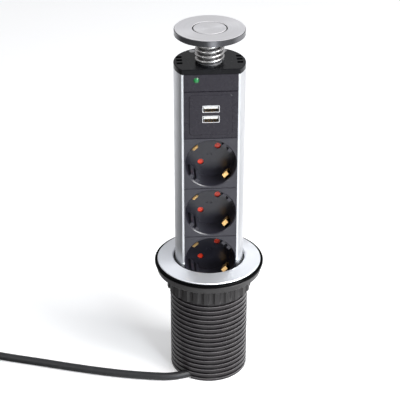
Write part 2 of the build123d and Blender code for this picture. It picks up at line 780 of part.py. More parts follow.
def led_lens():
    """The lens: a domed pin with a flange behind the panel."""
    lens = rod_y(LED_R, PANEL_FRONT, PANEL_BACK + LED_FLANGE, LED_X, LED_Z)
    lens += rod_y(LED_R + LED_FLANGE, PANEL_BACK, PANEL_BACK + LED_FLANGE, LED_X, LED_Z)
    ball_r = (LED_R * LED_R + LED_DOME * LED_DOME) / (2 * LED_DOME)
    dome = Pos(LED_X, PANEL_FRONT - LED_DOME + ball_r, LED_Z) * Sphere(ball_r)
    return lens + (dome & rod_y(LED_R, PANEL_FRONT - LED_DOME - CUT_OVER, PANEL_FRONT, LED_X, LED_Z))


def window(half, front, back):
    """A square block with rounded corners, along Y, at the USB window."""
    square = RectangleRounded(2 * half, 2 * half, WINDOW_ROUND)
    return Pos(0, back, WINDOW_Z) * Rot(90, 0, 0) * extrude(square, back - front)


def usb_frame():
    plate = panel(USB_PANEL_LOW, LED_PANEL_LOW)
    return plate - window(WINDOW_HALF, PANEL_FRONT - CUT_OVER, PANEL_BACK + CUT_OVER)


def port(width, height, front, back, z):
    """A USB port's outline as a block along Y."""
    outline = RectangleRounded(width, height, SHELL_ROUND)
    return Pos(0, back, z) * Rot(90, 0, 0) * extrude(outline, back - front)


def usb_insert():
    """The square insert, held by a ledge behind the frame, with walls to the board."""
    front = PANEL_FRONT - INSERT_PROUD
    insert = window(WINDOW_HALF - SEAT_GAP, front, PANEL_BACK)
    insert = chamfer(insert.faces().sort_by(Axis.Y)[0].edges(), INSERT_PROUD)
    ledge_back = PANEL_BACK + INSERT_LEDGE_T
    insert += window(WINDOW_HALF + INSERT_LEDGE, PANEL_BACK, ledge_back)
    insert -= window(WINDOW_HALF - INSERT_WALL_T, front + INSERT_T, ledge_back + CUT_OVER)
    for side in (-1, 1):
        outer = side * BOARD_HALF
        inner = side * (BOARD_HALF - INSERT_WALL_T)
        insert += block(
            (min(outer, inner), front + INSERT_T - SEAM, BOARD_LOW),
            (max(outer, inner), SHELL_BACK, BOARD_HIGH),
        )
    for z in PORT_ZS:
        insert -= port(SHELL_W + SEAT_GAP, SHELL_H + SEAT_GAP, front - CUT_OVER, ledge_back, z)
    return insert


def usb_shell(z):
    front = PANEL_FRONT - INSERT_PROUD
    shell = port(SHELL_W, SHELL_H, front, SHELL_BACK, z)
    inner = port(SHELL_W - 2 * SHELL_T, SHELL_H - 2 * SHELL_T, front - CUT_OVER, SHELL_BACK + CUT_OVER, z)
    return shell - inner


def tongue_low(z):
    return z + SHELL_H / 2 - SHELL_T - TONGUE_INSET / 2 - TONGUE_T


def usb_tongue(z):
    """The insulating tongue near the top of a port, on the block that closes its rear."""
    front = PANEL_FRONT + TONGUE_INSET
    low = tongue_low(z)
    tongue = block((-TONGUE_W / 2, front, low), (TONGUE_W / 2, SHELL_BACK, low + TONGUE_T))
    inner = port(SHELL_W - 2 * SHELL_T, SHELL_H - 2 * SHELL_T, SHELL_BACK - TONGUE_BASE_T, SHELL_BACK, z)
    return tongue + inner


def usb_contacts():
    """Four contact strips under each tongue."""
    strips = []
    for z in PORT_ZS:
        for n in range(USB_PINS):
            x = USB_PIN_PITCH * (n - (USB_PINS - 1) / 2)
            high = tongue_low(z)
            strips.append(
                block(
                    (x - USB_PIN_W / 2, PANEL_FRONT + 2 * TONGUE_INSET, high - USB_PIN_T),
                    (x + USB_PIN_W / 2, SHELL_BACK - TONGUE_BASE_T, high),
                )
            )
    return strips


def charger_board():
    return block((-BOARD_HALF, SHELL_BACK, BOARD_LOW), (BOARD_HALF, SHELL_BACK + BOARD_T, BOARD_HIGH))


def charger_parts():
    """The transformer, two capacitors and a choke on the back of the board."""
    back = SHELL_BACK + BOARD_T
    height = BOARD_HIGH - BOARD_LOW
    mid_z = (BOARD_HIGH + BOARD_LOW) / 2
    core_half = BOARD_HALF * CORE_WIDTH_SHARE / 2
    core_rise = height * CORE_HEIGHT_SHARE / 2
    core = block(
        (-core_half, back, mid_z - core_rise),
        (core_half, back + height * CORE_DEPTH_SHARE, mid_z + core_rise),
    )
    can_r = BOARD_HALF * CAN_R_SHARE
    can_x = BOARD_HALF * CAN_PLACE_SHARE
    cans = [rod_y(can_r, back, back + height * CAN_DEPTH_SHARE, side * can_x, mid_z) for side in (-1, 1)]
    choke = rod_y(can_r, back, back + height * CHOKE_DEPTH_SHARE, 0, BOARD_LOW + can_r + SEAM)
    return [core, *cans, choke]


# The sockets


def clip_middle():
    """The middle line of one earth bracket's half, as (radius, Y) places."""
    return [
        (CUP_R + CLIP_LEG_GAP, BRIDGE_Y),
        (CUP_R + CLIP_LEG_GAP, FLOOR_FRONT - CLIP_ENTRY),
        (RECESS_R - CLIP_FOOT_INSET, FLOOR_FRONT - CLIP_FOOT),
        (RECESS_R - CLIP_NOSE_INSET, PANEL_FRONT + CLIP_NOSE),
        (RECESS_R - CLIP_TIP_INSET, PANEL_FRONT + CLIP_TIP),
    ]


def socket_body(z):
    """A round recess with its panel, two slotted guide ribs, pin holes and clip windows."""
    half = SOCKET_PITCH / 2
    body = panel(-half, half)
    body += rod_y(CUP_R, PANEL_BACK, SKIRT_BACK)
    body -= rod_y(RECESS_R, PANEL_FRONT - CUT_OVER, FLOOR_FRONT)
    flare_back = PANEL_FRONT + RECESS_FLARE
    rests_low = (Align.CENTER, Align.CENTER, Align.MIN)
    flare = Cone(RECESS_R, RECESS_R + RECESS_FLARE, RECESS_FLARE, align=rests_low)
    body -= Pos(0, flare_back, 0) * Rot(90, 0, 0) * flare
    body -= rod_y(SHUTTER_ROOM_R, FLOOR_BACK, SKIRT_BACK)
    body -= rod_y(SEAT_R, CONTACT_PLATE_FRONT, SKIRT_BACK + CUT_OVER)
    for side in (-1, 1):
        body -= rod_y(PIN_HOLE_R, FLOOR_FRONT - CUT_OVER, FLOOR_BACK + LOOSE_FIT, side * PIN_X, side * PIN_Z)
        body -= rod_y(DIMPLE_R, FLOOR_FRONT - CUT_OVER, FLOOR_FRONT + DIMPLE_R, side * DIMPLE_X, 0)
    rib_front = PANEL_FRONT + RIB_SETBACK
    rib = block((RIB_R, rib_front, -RIB_W / 2), (RECESS_R + CUP_WALL / 2, FLOOR_FRONT, RIB_W / 2))
    rib -= block(
        (RIB_R - CUT_OVER, rib_front - CUT_OVER, -RIB_SLOT_W / 2),
        (RIB_SLOT_R, FLOOR_FRONT, RIB_SLOT_W / 2),
    )
    clip_window = block(
        (RECESS_R - CLIP_NOSE_INSET, WINDOW_FRONT, -CLIP_WINDOW_W / 2),
        (CUP_R + CUT_OVER, WINDOW_BACK, CLIP_WINDOW_W / 2),
    )
    for turn in (PIN_LINE_DEG, PIN_LINE_DEG + 180):
        body += turned(rib, turn)
        body -= turned(clip_window, turn + 90)
    return Pos(0, 0, z) * body


def shutter(z):
    """The red shutter: a bar with a pad behind each pin hole."""
    plate = rod_y(SHUTTER_HUB_R, SHUTTER_FRONT, SHUTTER_BACK)
    arm = block(
        (-PIN_SPACING / 2, SHUTTER_FRONT, -SHUTTER_ARM_W / 2),
        (PIN_SPACING / 2, SHUTTER_BACK, SHUTTER_ARM_W / 2),
    )
    plate += turned(arm, PIN_LINE_DEG)
    for side in (-1, 1):
        plate += rod_y(SHUTTER_PAD_R, SHUTTER_FRONT, SHUTTER_BACK, side * PIN_X, side * PIN_Z)
    return Pos(0, 0, z) * (plate - rod_y(PIVOT_R + SLIDE_FIT, FLOOR_BACK, CONTACT_PLATE_FRONT))


def contact_plate(z):
    """The plate behind a socket, with the shutter's pivot and holes for the contacts."""
    plate = rod_y(SEAT_R - SEAT_GAP, CONTACT_PLATE_FRONT, SKIRT_BACK)
    plate += rod_y(PIVOT_R, SHUTTER_FRONT, CONTACT_PLATE_FRONT)
    for side in (-1, 1):
        plate -= rod_y(
            TULIP_R + SEAT_GAP, FLOOR_BACK, SKIRT_BACK + CUT_OVER, side * PIN_X, side * PIN_Z
        )
    return Pos(0, 0, z) * plate


def earth_bracket(z):
    """The brass bracket behind a socket, whose two clips reach into the recess."""
    half = clip_middle()
    points = [(-r, y) for r, y in reversed(half)] + half
    return Pos(0, 0, z) * turned(bent_strip(points, CLIP_SHEET_T, CLIP_W), PIN_LINE_DEG + 90)


def contact_rail(side):
    """A brass rail with one slit contact tube for each socket."""
    heights = [z + side * PIN_Z for z in SOCKET_ZS]
    x = side * PIN_X
    rail = block(
        (x - RAIL_W / 2, RAIL_FRONT, min(heights) - RAIL_END),
        (x + RAIL_W / 2, RAIL_BACK, max(heights) + RAIL_END),
    )
    for z in heights:
        tube = rod_y(TULIP_R, TULIP_FRONT, RAIL_FRONT, x, z)
        tube -= rod_y(TULIP_BORE_R, TULIP_FRONT - CUT_OVER, RAIL_FRONT, x, z)
        tube -= block(
            (x - TULIP_R - CUT_OVER, TULIP_FRONT - CUT_OVER, z - TULIP_SLIT_W / 2),
            (x + TULIP_R + CUT_OVER, TULIP_FRONT + TULIP_SLIT_L, z + TULIP_SLIT_W / 2),
        )
        rail += tube
    return rail


def earth_rail_low():
    return min(SOCKET_ZS) - EARTH_RAIL_END


def earth_rail():
    low = earth_rail_low()
    high = max(SOCKET_ZS) + EARTH_RAIL_END
    return block((-RAIL_W / 2, EARTH_RAIL_FRONT, low), (RAIL_W / 2, EARTH_RAIL_BACK, high))


def rail_carrier():
    """The plastic bar on the profile's back rib that holds the three rails."""
    low = min(SOCKET_ZS) - CARRIER_END
    high = max(SOCKET_ZS) + CARRIER_END
    back = EARTH_RAIL_BACK + CARRIER_T
    carrier = block((-CARRIER_HALF, EARTH_RAIL_BACK, low), (CARRIER_HALF, back, high))
    carrier += block((-SPINE_W / 2, back, low), (SPINE_W / 2, BACK_RIB_FRONT, high))
    for upper, lower in zip(SOCKET_ZS, SOCKET_ZS[1:]):
        for side in (-1, 1):
            carrier += rod_y(POST_R, RAIL_BACK, EARTH_RAIL_BACK, side * PIN_X, (upper + lower) / 2)
    return carrier


def core_wires():
    """The live, neutral and earth wires from the gland up to the rails."""
    low = PROFILE_LOW
    step = 2 * WIRE_R + SEAM
    live_end = Vector(PIN_X, (RAIL_FRONT + RAIL_BACK) / 2, min(SOCKET_ZS) + PIN_Z - RAIL_END)
    neutral_end = Vector(-PIN_X, live_end.Y, min(SOCKET_ZS) - PIN_Z - RAIL_END)
    earth_end = Vector(0, (EARTH_RAIL_FRONT + EARTH_RAIL_BACK) / 2, earth_rail_low())
    room = min(SOCKET_ZS) - CUP_R - low
    ends = {"wire_live": live_end, "wire_neutral": neutral_end, "wire_earth": earth_end}
    shifts = {"wire_live": step, "wire_neutral": -step, "wire_earth": 0}
    wires = {}
    for name, end in ends.items():
        foot = Vector(GLAND.X + shifts[name], GLAND.Y + GLAND_NECK_R, low)
        points = [
            foot,
            foot + Vector(0, 0, room * WIRE_LOW_SHARE),
            Vector(end.X, end.Y, low + room * WIRE_HIGH_SHARE),
            end,
        ]
        radii = corner_radii(points)
        print(name, "radii", [round(r, 1) for r in radii])
        wires[name] = routed(points, radii, 2 * WIRE_R)
    return wires


# The cord, its coil and its plug


def inner_lead():
    """The cord inside the barrel, from the gland to the notch in the rim."""
    points = [Vector(GLAND.X, GLAND.Y, GLAND_LOW), Vector(GLAND.X, GLAND.Y, CORD_D / 2), EXIT]
    print("inner lead radius", LEAD_BEND_R)
    return routed(points, [LEAD_BEND_R], CORD_D)


def coil_start():
    return Vector(COIL_X + COIL_STUB, COIL_Y + COIL_R, CORD_D / 2)


def cord_run():
    """The cord on the surface, from the notch to the coil."""
    z = CORD_D / 2
    points = [
        EXIT,
        EXIT + EXIT_WAY * FIRST_RUN,
        Vector(-54, -25.2, z),
        Vector(-82, -19.2, z),
        Vector(-112, -10.4, z),
        Vector(-144, 0.2, z),
        Vector(-177, 10.6, z),
        Vector(-204, 21.6, z),
        Vector(-222, COIL_Y + COIL_R, COIL_Z),
        coil_start() + Vector(0, 0, COIL_Z - z),
    ]
    radii = corner_radii(points)
    print("cord run radii", [round(r, 1) for r in radii])
    return routed(points, radii, CORD_D)


def coil_edges():
    """The coil's middle line: inwards on the surface, up a layer, and outwards on top."""
    centre = Vector(COIL_X, COIL_Y, COIL_Z)
    step = COIL_TURN_STEP / 2
    lift = Vector(0, 0, COIL_LAYER_STEP)
    radius = COIL_R
    side = 1
    start = centre + Vector(0, radius, 0)
    edges = [Line(start + Vector(COIL_STUB, 0, 0), start)]
    for n in range(COIL_IN_HALVES):
        end = centre + Vector(0, -side * (radius - step), 0)
        edges.append(TangentArc(start, end, tangent=Vector(-side, 0, 0)))
        start, radius, side = end, radius - step, -side
    centre += lift
    middle = centre + Vector(-side * radius, 0, -COIL_LAYER_STEP / 2)
    slope = COIL_LAYER_STEP / (radius * math.pi) * 1.5
    middle_way = Vector(0, -side, slope).normalized()
    end = centre + Vector(0, -side * radius, 0)
    edges += biarc(start, Vector(-side, 0, 0), middle, middle_way)
    edges += biarc(middle, middle_way, end, Vector(side, 0, 0))
    start, side = end, -side
    for n in range(COIL_OUT_HALVES):
        end = centre + Vector(0, -side * (radius + step), 0)
        edges.append(TangentArc(start, end, tangent=Vector(-side, 0, 0)))
        start, radius, side = end, radius + step, -side
    edges.append(Line(start, start - Vector(side * COIL_STUB, 0, 0)))
    print("coil least gap", round(least_gap(edges, CORD_D, 24), 2))
    return edges


def cord_tail(start):
    """The short stretch from the coil to the plug's boot."""
    end = Vector(BOOT_X, BOOT_Y, PLUG_Z)
    points = [
        start,
        start - Vector(TAIL_START, 0, 0),
        Vector(-273, 19, 15.4),
        Vector(-287, 15, PLUG_Z),
        end,
    ]
    radii = corner_radii(points)
    print("cord tail radii", [round(r, 1) for r in radii])
    return routed(points, radii, CORD_D)


def coil_tie():
    """The strap round the coil's turns, on the side away from the object."""
    inner_r = COIL_R - COIL_TURN_STEP / 2 * (COIL_IN_HALVES - 0.5) - CORD_D / 2
    outer_r = COIL_R - COIL_TURN_STEP / 4 + CORD_D / 2
    top = COIL_Z + COIL_LAYER_STEP + CORD_D / 2
    low_x = COIL_X - outer_r - TIE_SLACK
    high_x = COIL_X - inner_r + 3 * TIE_SLACK
    half = TIE_W / 2
    inner = block(
        (low_x, COIL_Y - half - CUT_OVER, TIE_T),
        (high_x, COIL_Y + half + CUT_OVER, top + LOOSE_FIT),
    )
    outer = block(
        (low_x - TIE_T, COIL_Y - half, 0),
        (high_x + TIE_T, COIL_Y + half, top + LOOSE_FIT + TIE_T),
    )
    outer = fillet(outer.edges().filter_by(Axis.Y), TIE_T)
    return outer - inner


def plug_body():
    """The earthed plug on its cord, lying on its round side, with its boot."""
    body = lathe(
        [
            (0, -PLUG_LENGTH),
            (PLUG_R - EDGE, -PLUG_LENGTH),
            (PLUG_R, EDGE - PLUG_LENGTH),
            (PLUG_R, -PLUG_LENGTH * PLUG_GRIP_SHARE),
            (PLUG_WAIST_R, -PLUG_LENGTH * PLUG_WAIST_SHARE),
            (PLUG_REAR_R, 0),
            (BOOT_R, 0),
            (BOOT_TIP_R, BOOT_LENGTH),
            (0, BOOT_LENGTH),
        ]
    )
    face = -PLUG_LENGTH
    for side in (-1, 1):
        inner = side * (PLUG_R - PLUG_GROOVE_DEPTH)
        outer = side * (PLUG_R + CUT_OVER)
        body -= block(
            (-PLUG_GROOVE_W / 2, min(inner, outer), face - CUT_OVER),
            (PLUG_GROOVE_W / 2, max(inner, outer), face + PLUG_GROOVE_L),
        )
        body -= plug_strip(side, CUT_OVER)
    return placed_plug(body)


def plug_strip(side, over=0):
    """One earth strip, let into the plug's round side. With an overrun it is the cut for it."""
    inner = side * (PLUG_R - 2 * PLUG_STRIP_T)
    outer = side * (PLUG_R - PLUG_STRIP_T + over)
    return block(
        (min(inner, outer), -PLUG_STRIP_W / 2, -PLUG_LENGTH - over),
        (max(inner, outer), PLUG_STRIP_W / 2, PLUG_STRIP_L - PLUG_LENGTH),
    )


def placed_plug(shape):
    """Lays a plug piece down: its axis along X, its pins towards -X."""
    return Pos(BOOT_X - BOOT_LENGTH, BOOT_Y, PLUG_Z) * Rot(0, 90, 0) * shape


def plug_pins():
    pins = []
    for side in (-1, 1):
        pin = rod(PLUG_PIN_R, -PLUG_LENGTH - PLUG_PIN_LENGTH, -PLUG_LENGTH, 0, side * PIN_SPACING / 2)
        pin = fillet(pin.faces().sort_by(Axis.Z)[0].edges(), PLUG_PIN_R / 2)
        pins.append(placed_plug(pin))
    return pins


def plug_strips():
    return [placed_plug(plug_strip(side)) for side in (-1, 1)]


# Writing the pieces


def save(name, shape):
    """Writes one node. A list becomes a group of separate solids."""
    if isinstance(shape, list):
        shape = Compound(children=[Part(solid.wrapped) for solid in shape])
    export_step(shape, f"parts/{name}.step")


save("threaded_barrel", threaded_barrel())
save("trim_ring", trim_ring())
save("flange_seal", flange_seal())
save("clamp_washer", clamp_washer())
save("clamp_nut", clamp_nut())
save("guide_ring", guide_ring())
save("wiper_ring", wiper_ring())
save("tower_profile", tower_profile())
save("head_plate", head_plate())
save("head_screws", head_screws())
save("bottom_cap", bottom_cap())
save("bottom_screws", bottom_screws())
save("cable_gland", cable_gland())
save("stem_bushing", stem_bushing())
save("cap_stem", cap_stem())
save("stem_clip", stem_clip())
save("cap_disc", cap_disc())
save("button_disc", button_disc())
save("button_rod", button_rod())
save("pop_spring", wound_spring(POP_WIRE_D, POP_MEAN_R, PLATE_TOP, CAP_LOW, POP_QUARTERS))
save(
    "button_spring",
    wound_spring(BUTTON_WIRE_D, BUTTON_MEAN_R, SPRING_WELL_LOW, CAP_TOP - BUTTON_T, BUTTON_QUARTERS),
)
save("led_panel", led_panel())
save("led_lens", led_lens())
save("usb_frame", usb_frame())
save("usb_insert", usb_insert())
save("usb_shells", [usb_shell(z) for z in PORT_ZS])
save("usb_tongues", [usb_tongue(z) for z in PORT_ZS])
save("usb_contacts", usb_contacts())
save("charger_board", charger_board())
save("charger_parts", charger_parts())
for number, height in enumerate(SOCKET_ZS, 1):
    save(f"socket_body_{number}", socket_body(height))
    save(f"shutter_{number}", shutter(height))
    save(f"contact_plate_{number}", contact_plate(height))
    save(f"earth_bracket_{number}", earth_bracket(height))
save("live_rail", contact_rail(1))
save("neutral_rail", contact_rail(-1))
save("earth_rail", earth_rail())
save("rail_carrier", rail_carrier())
save("blank_panel", panel(PROFILE_LOW, LAST_SOCKET_LOW))
for wire_name, wire_solid in core_wires().items():
    save(wire_name, wire_solid)
save("inner_lead", inner_lead())
save("cord_run", cord_run())
turns = coil_edges()
save("cord_coil", swept(turns, CORD_D))
save("cord_tail", cord_tail(turns[-1] @ 1))
save("coil_tie", coil_tie())
save("plug_body", plug_body())
save("plug_pins", plug_pins())
save("plug_strips", plug_strips())
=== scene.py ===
# %% [markdown]
# # Pop up desk socket
#
# This lesson dresses a desk socket: a round tower that slides up out of a threaded barrel,
# with three sockets, two charging ports and a sprung cap. The solid pieces come from the
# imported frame. The script adds the cord, the strap, the materials, the light and the camera.
# All lengths are in metres, +Z is up, and the sockets face -Y.

import math

import bpy
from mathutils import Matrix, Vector


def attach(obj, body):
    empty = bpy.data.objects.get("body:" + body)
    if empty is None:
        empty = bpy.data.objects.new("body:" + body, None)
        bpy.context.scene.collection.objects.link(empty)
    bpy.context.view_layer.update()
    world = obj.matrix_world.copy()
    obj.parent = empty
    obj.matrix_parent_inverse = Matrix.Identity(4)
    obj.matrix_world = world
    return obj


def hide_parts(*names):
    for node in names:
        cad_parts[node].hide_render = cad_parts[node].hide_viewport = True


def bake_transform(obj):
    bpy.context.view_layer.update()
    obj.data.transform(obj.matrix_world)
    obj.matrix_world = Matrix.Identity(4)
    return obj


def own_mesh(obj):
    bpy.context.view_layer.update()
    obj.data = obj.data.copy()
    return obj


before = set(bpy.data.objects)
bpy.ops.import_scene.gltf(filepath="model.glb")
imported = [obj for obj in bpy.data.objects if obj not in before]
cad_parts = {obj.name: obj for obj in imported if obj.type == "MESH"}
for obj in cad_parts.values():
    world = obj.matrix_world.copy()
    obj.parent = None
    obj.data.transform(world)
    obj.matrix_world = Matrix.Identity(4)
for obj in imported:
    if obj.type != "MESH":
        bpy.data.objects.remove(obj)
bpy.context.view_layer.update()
MM = 0.001

# %% [markdown]
# ## The camera
#
# The camera stands to the front and a little to the left, and looks down at about 29
# degrees. Its place could be found by eye, but it was worked out from the ellipses that the
# cap, the ring and the barrel draw in the picture, because a round piece tells its tilt and
# distance that way. The lens is long, since upright edges hardly lean together in the
# picture. The object stands just right of the middle, so the camera is turned past it.

# %% Place the camera
PICTURE_WIDTH_PX = 400
FOCAL_PX = 1325
CAMERA_AWAY = 0.9253
CAMERA_HIGH = 0.6605
CAMERA_ROUND_DEG = 4.0
CAMERA_DOWN_DEG = 28.7
CAMERA_PAST_DEG = 0.45

camera_data = bpy.data.cameras.new("camera")
camera_data.sensor_fit = "HORIZONTAL"
camera_data.lens = FOCAL_PX / PICTURE_WIDTH_PX * camera_data.sensor_width
camera = bpy.data.objects.new("camera", camera_data)
bpy.context.scene.collection.objects.link(camera)
bpy.context.scene.camera = camera
around = math.radians(CAMERA_ROUND_DEG)
heading = around - math.radians(CAMERA_PAST_DEG)
down = math.radians(CAMERA_DOWN_DEG)
camera.location = (-CAMERA_AWAY * math.sin(around), -CAMERA_AWAY * math.cos(around), CAMERA_HIGH)
aim_flat = math.cos(down)
aim = Vector((math.sin(heading) * aim_flat, math.cos(heading) * aim_flat, -math.sin(down)))
camera.rotation_mode = "QUATERNION"
camera.rotation_quaternion = aim.to_track_quat("-Z", "Y")
print("lens", round(camera_data.lens, 2), "mm, from", [round(c, 3) for c in camera.location])

# %% [markdown]
# ## The cord's route
#
# The cord comes out of a notch under the barrel's rim, crosses the table to the left and
# ends in a flat coil of two layers with its plug beside it. A rope could be simulated, but
# this one lies still, so its line is worked out and is the same every time: a few points
# along the table, then the coil's turns inwards, up through half a turn, and outwards on top
# of the first layer. The points are the middle of the cord.

# %% Work out the route
CORD_D = 6.6 * MM
CORD_Z = CORD_D / 2
COIL_Z = 4.0 * MM
EXIT = Vector((-19.0 * MM, -23.8 * MM, CORD_Z))
EXIT_DEG = 202
EXIT_WAY = Vector((math.cos(math.radians(EXIT_DEG)), math.sin(math.radians(EXIT_DEG)), 0))
FIRST_RUN = 12 * MM
COIL_CENTRE = Vector((-240 * MM, -16 * MM, COIL_Z))
COIL_R = 45 * MM
COIL_STEP = 4.1 * MM
COIL_LIFT = 7.1 * MM
HALF_TURN_POINTS = 8
IN_HALVES = 5
OUT_HALVES = 4


def coil_place(turned, radius, lift):
    """A point of the coil, turned from +Y towards -X. Its spline runs at the given radius."""
    reach = radius / math.cos(math.pi / 2 / HALF_TURN_POINTS)
    return COIL_CENTRE + Vector((-reach * math.sin(turned), reach * math.cos(turned), lift))


def coil_points():
    """The coil's points, inwards, up and outwards."""
    points = []
    for n in range(1, HALF_TURN_POINTS * (IN_HALVES + 1 + OUT_HALVES)):
        halves = n / HALF_TURN_POINTS
        inwards = min(halves, IN_HALVES)
        climb = min(max(halves - IN_HALVES, 0), 1)
        outwards = max(halves - IN_HALVES - 1, 0)
        radius = COIL_R - COIL_STEP * (inwards - outwards)
        lift = COIL_LIFT * climb * climb * (3 - 2 * climb)
        points.append(coil_place(math.pi * halves, radius, lift))
    return points


RUN_MM = [(-54, -25.2), (-82, -19.2), (-112, -10.4), (-144, 0.2), (-177, 10.6), (-204, 21.6)]
BEFORE_COIL_MM = (-222, 29)
COIL_STRAIGHT = 7 * MM
COIL_LEAVE = 12 * MM
TAIL_MM = [(-273, 19, 15.4), (-287, 15, 18.6), (-299, 15, 18.6)]

route = [EXIT, EXIT + EXIT_WAY * FIRST_RUN]
route += [Vector((x * MM, y * MM, CORD_Z)) for x, y in RUN_MM]
route += [Vector((BEFORE_COIL_MM[0] * MM, BEFORE_COIL_MM[1] * MM, COIL_Z))]
route += [COIL_CENTRE + Vector((COIL_STRAIGHT, COIL_R, 0))]
route += coil_points()
last_r = COIL_R - COIL_STEP * (IN_HALVES - OUT_HALVES)
coil_end = COIL_CENTRE + Vector((-COIL_STRAIGHT, last_r, COIL_LIFT))
route += [coil_end, coil_end - Vector((COIL_LEAVE, 0, 0))]
route += [Vector((x * MM, y * MM, z * MM)) for x, y, z in TAIL_MM]
print("the route has", len(route), "points")

# %% [markdown]
# ## The cord
#
# The cord has a round black sheath of one thickness. A tube could be modelled face by face,
# but a curve with a round bevel keeps its thickness in every bend and needs only the line.
# It is one smooth spline with the route's points as its control points, and each point's
# radius is the sheath's.


# %% Make a round cord
def round_cord(name, points, diameter):
    """A cord as a curve with one smooth spline."""
    curve = bpy.data.curves.new(name, "CURVE")
    curve.dimensions = "3D"
    curve.bevel_depth = 1.0
    curve.bevel_resolution = 6
    curve.use_fill_caps = True
    spline = curve.splines.new("NURBS")
    spline.points.add(len(points) - 1)
    for control, point in zip(spline.points, points):
        control.co = (*point, 1)
        control.radius = diameter / 2
    spline.order_u = 3
    spline.use_endpoint_u = True
    spline.resolution_u = 8
    made = bpy.data.objects.new(name, curve)
    bpy.context.scene.collection.objects.link(made)
    return made


cord = round_cord("cord", route, CORD_D)
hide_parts("cord_run", "cord_coil", "cord_tail")
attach(cord, "barrel")
print("cord from", [round(c, 4) for c in route[0]], "to", [round(c, 4) for c in route[-1]])

# %% [markdown]
# ## The lead inside the barrel
#
# A short lead joins the tower's cable gland to the notch, and its top follows the tower. A
# stiff piece would tear loose there. It is made like the cord and then turned into a mesh
# that runs from the notch, which stays, to the gland, which slides.

# %% Make the lead inside the barrel
LEAD_REACH = 28 * MM
LEAD_TOP = 26.5 * MM
gland = EXIT - EXIT_WAY * LEAD_REACH
gland.z = LEAD_TOP
lead_curve = round_cord("lead_curve", [gland, Vector((gland.x, gland.y, CORD_Z)), EXIT], CORD_D)
bpy.context.view_layer.update()
lead_final = lead_curve.evaluated_get(bpy.context.evaluated_depsgraph_get())
lead_mesh = bpy.data.meshes.new_from_object(lead_final)
bpy.data.objects.remove(lead_curve)
lead = bpy.data.objects.new("lead", lead_mesh)
bpy.context.scene.collection.objects.link(lead)
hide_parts("inner_lead")
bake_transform(lead)
print("lead with", len(lead_mesh.vertices), "points")

# %% [markdown]
# ## The strap round the coil
#
# A woven strap holds the turns together. Cloth could be simulated round the bundle, but what
# it ties sets its shape, so its line is drawn: round the bundle with rounded corners, its
# free end laid over its start. It is slightly narrower where it lies flat than where it goes
# round a corner. A modifier gives it its thickness, so the line stays easy to change.

# %% Make the strap
STRAP_LOW_X = -287.3 * MM
STRAP_HIGH_X = -261.2 * MM
STRAP_TOP = 15.0 * MM
STRAP_WIDTH = 9.6 * MM
STRAP_THICK = 0.6 * MM
STRAP_ROUND = 3.0 * MM
STRAP_LAP = 9 * MM
STRAP_LAP_SHARES = (0.3, 1.0)
STRAP_CORNER_PARTS = 6
STRAP_THREADS = 7
STRAP_FLATS = 4
STRAP_PRESSED = 0.03


def strap_line():
    """The strap's outer line round the bundle, as (x, z) places from the middle of its top."""
    middle_x = (STRAP_LOW_X + STRAP_HIGH_X) / 2
    half_x = (STRAP_HIGH_X - STRAP_LOW_X) / 2
    corners = [
        (middle_x + half_x - STRAP_ROUND, STRAP_TOP - STRAP_ROUND, 90),
        (middle_x + half_x - STRAP_ROUND, STRAP_ROUND, 0),
        (middle_x - half_x + STRAP_ROUND, STRAP_ROUND, -90),
        (middle_x - half_x + STRAP_ROUND, STRAP_TOP - STRAP_ROUND, -180),
    ]
    line = [(middle_x, STRAP_TOP)]
    for x, z, start in corners:
        for part in range(STRAP_CORNER_PARTS + 1):
            turn = math.radians(start - part * 90 / STRAP_CORNER_PARTS)
            line.append((x + STRAP_ROUND * math.cos(turn), z + STRAP_ROUND * math.sin(turn)))
    line.append((middle_x, STRAP_TOP))
    for share in STRAP_LAP_SHARES:
        line.append((middle_x + STRAP_LAP * share, STRAP_TOP + STRAP_THICK))
    return line


def strap_mesh():
    """The band's faces, seven threads wide."""
    rows = strap_line()
    across = STRAP_THREADS
    points = []
    for row, (x, z) in enumerate(rows):
        pressed = 0.5 + 0.5 * math.cos(row / len(rows) * 2 * STRAP_FLATS * math.pi)
        half = STRAP_WIDTH / 2 * (1 - STRAP_PRESSED * pressed)
        for n in range(across):
            points.append((x, COIL_CENTRE.y + half * (2 * n / (across - 1) - 1), z))
    faces = []
    for row in range(len(rows) - 1):
        for n in range(across - 1):
            corner = row * across + n
            faces.append((corner, corner + 1, corner + across + 1, corner + across))
    mesh = bpy.data.meshes.new("strap")
    mesh.from_pydata(points, [], faces)
    for face in mesh.polygons:
        face.use_smooth = True
    return mesh


strap = bpy.data.objects.new("strap", strap_mesh())
bpy.context.scene.collection.objects.link(strap)
thickness = strap.modifiers.new("thickness", "SOLIDIFY")
thickness.thickness = STRAP_THICK
thickness.offset = 1
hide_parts("coil_tie")
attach(strap, "barrel")
print("strap", round((STRAP_HIGH_X - STRAP_LOW_X) * 1000, 1), "mm across")

# %% [markdown]
# ## The springs
#
# The cap's spring stands between the head plate and the cap, and the button's spring stands
# in the stem's well. Each is copied into a piece of its own on its body. A coil that kept its
# height would come through the cap when that is pushed down, and these copies keep the
# frame's height.


def pressed_spring(name, node, body):
    """A copy of a spring on the given body, with a mesh of its own."""
    made = bpy.data.objects.new(name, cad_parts[node].data.copy())
    bpy.context.scene.collection.objects.link(made)
    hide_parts(node)
    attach(made, body)
    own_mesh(made)
    return made


pop_coil = pressed_spring("pop_coil", "pop_spring", "tower")
button_coil = pressed_spring(
    "button_coil", "button_spring", "lift_cap"
)
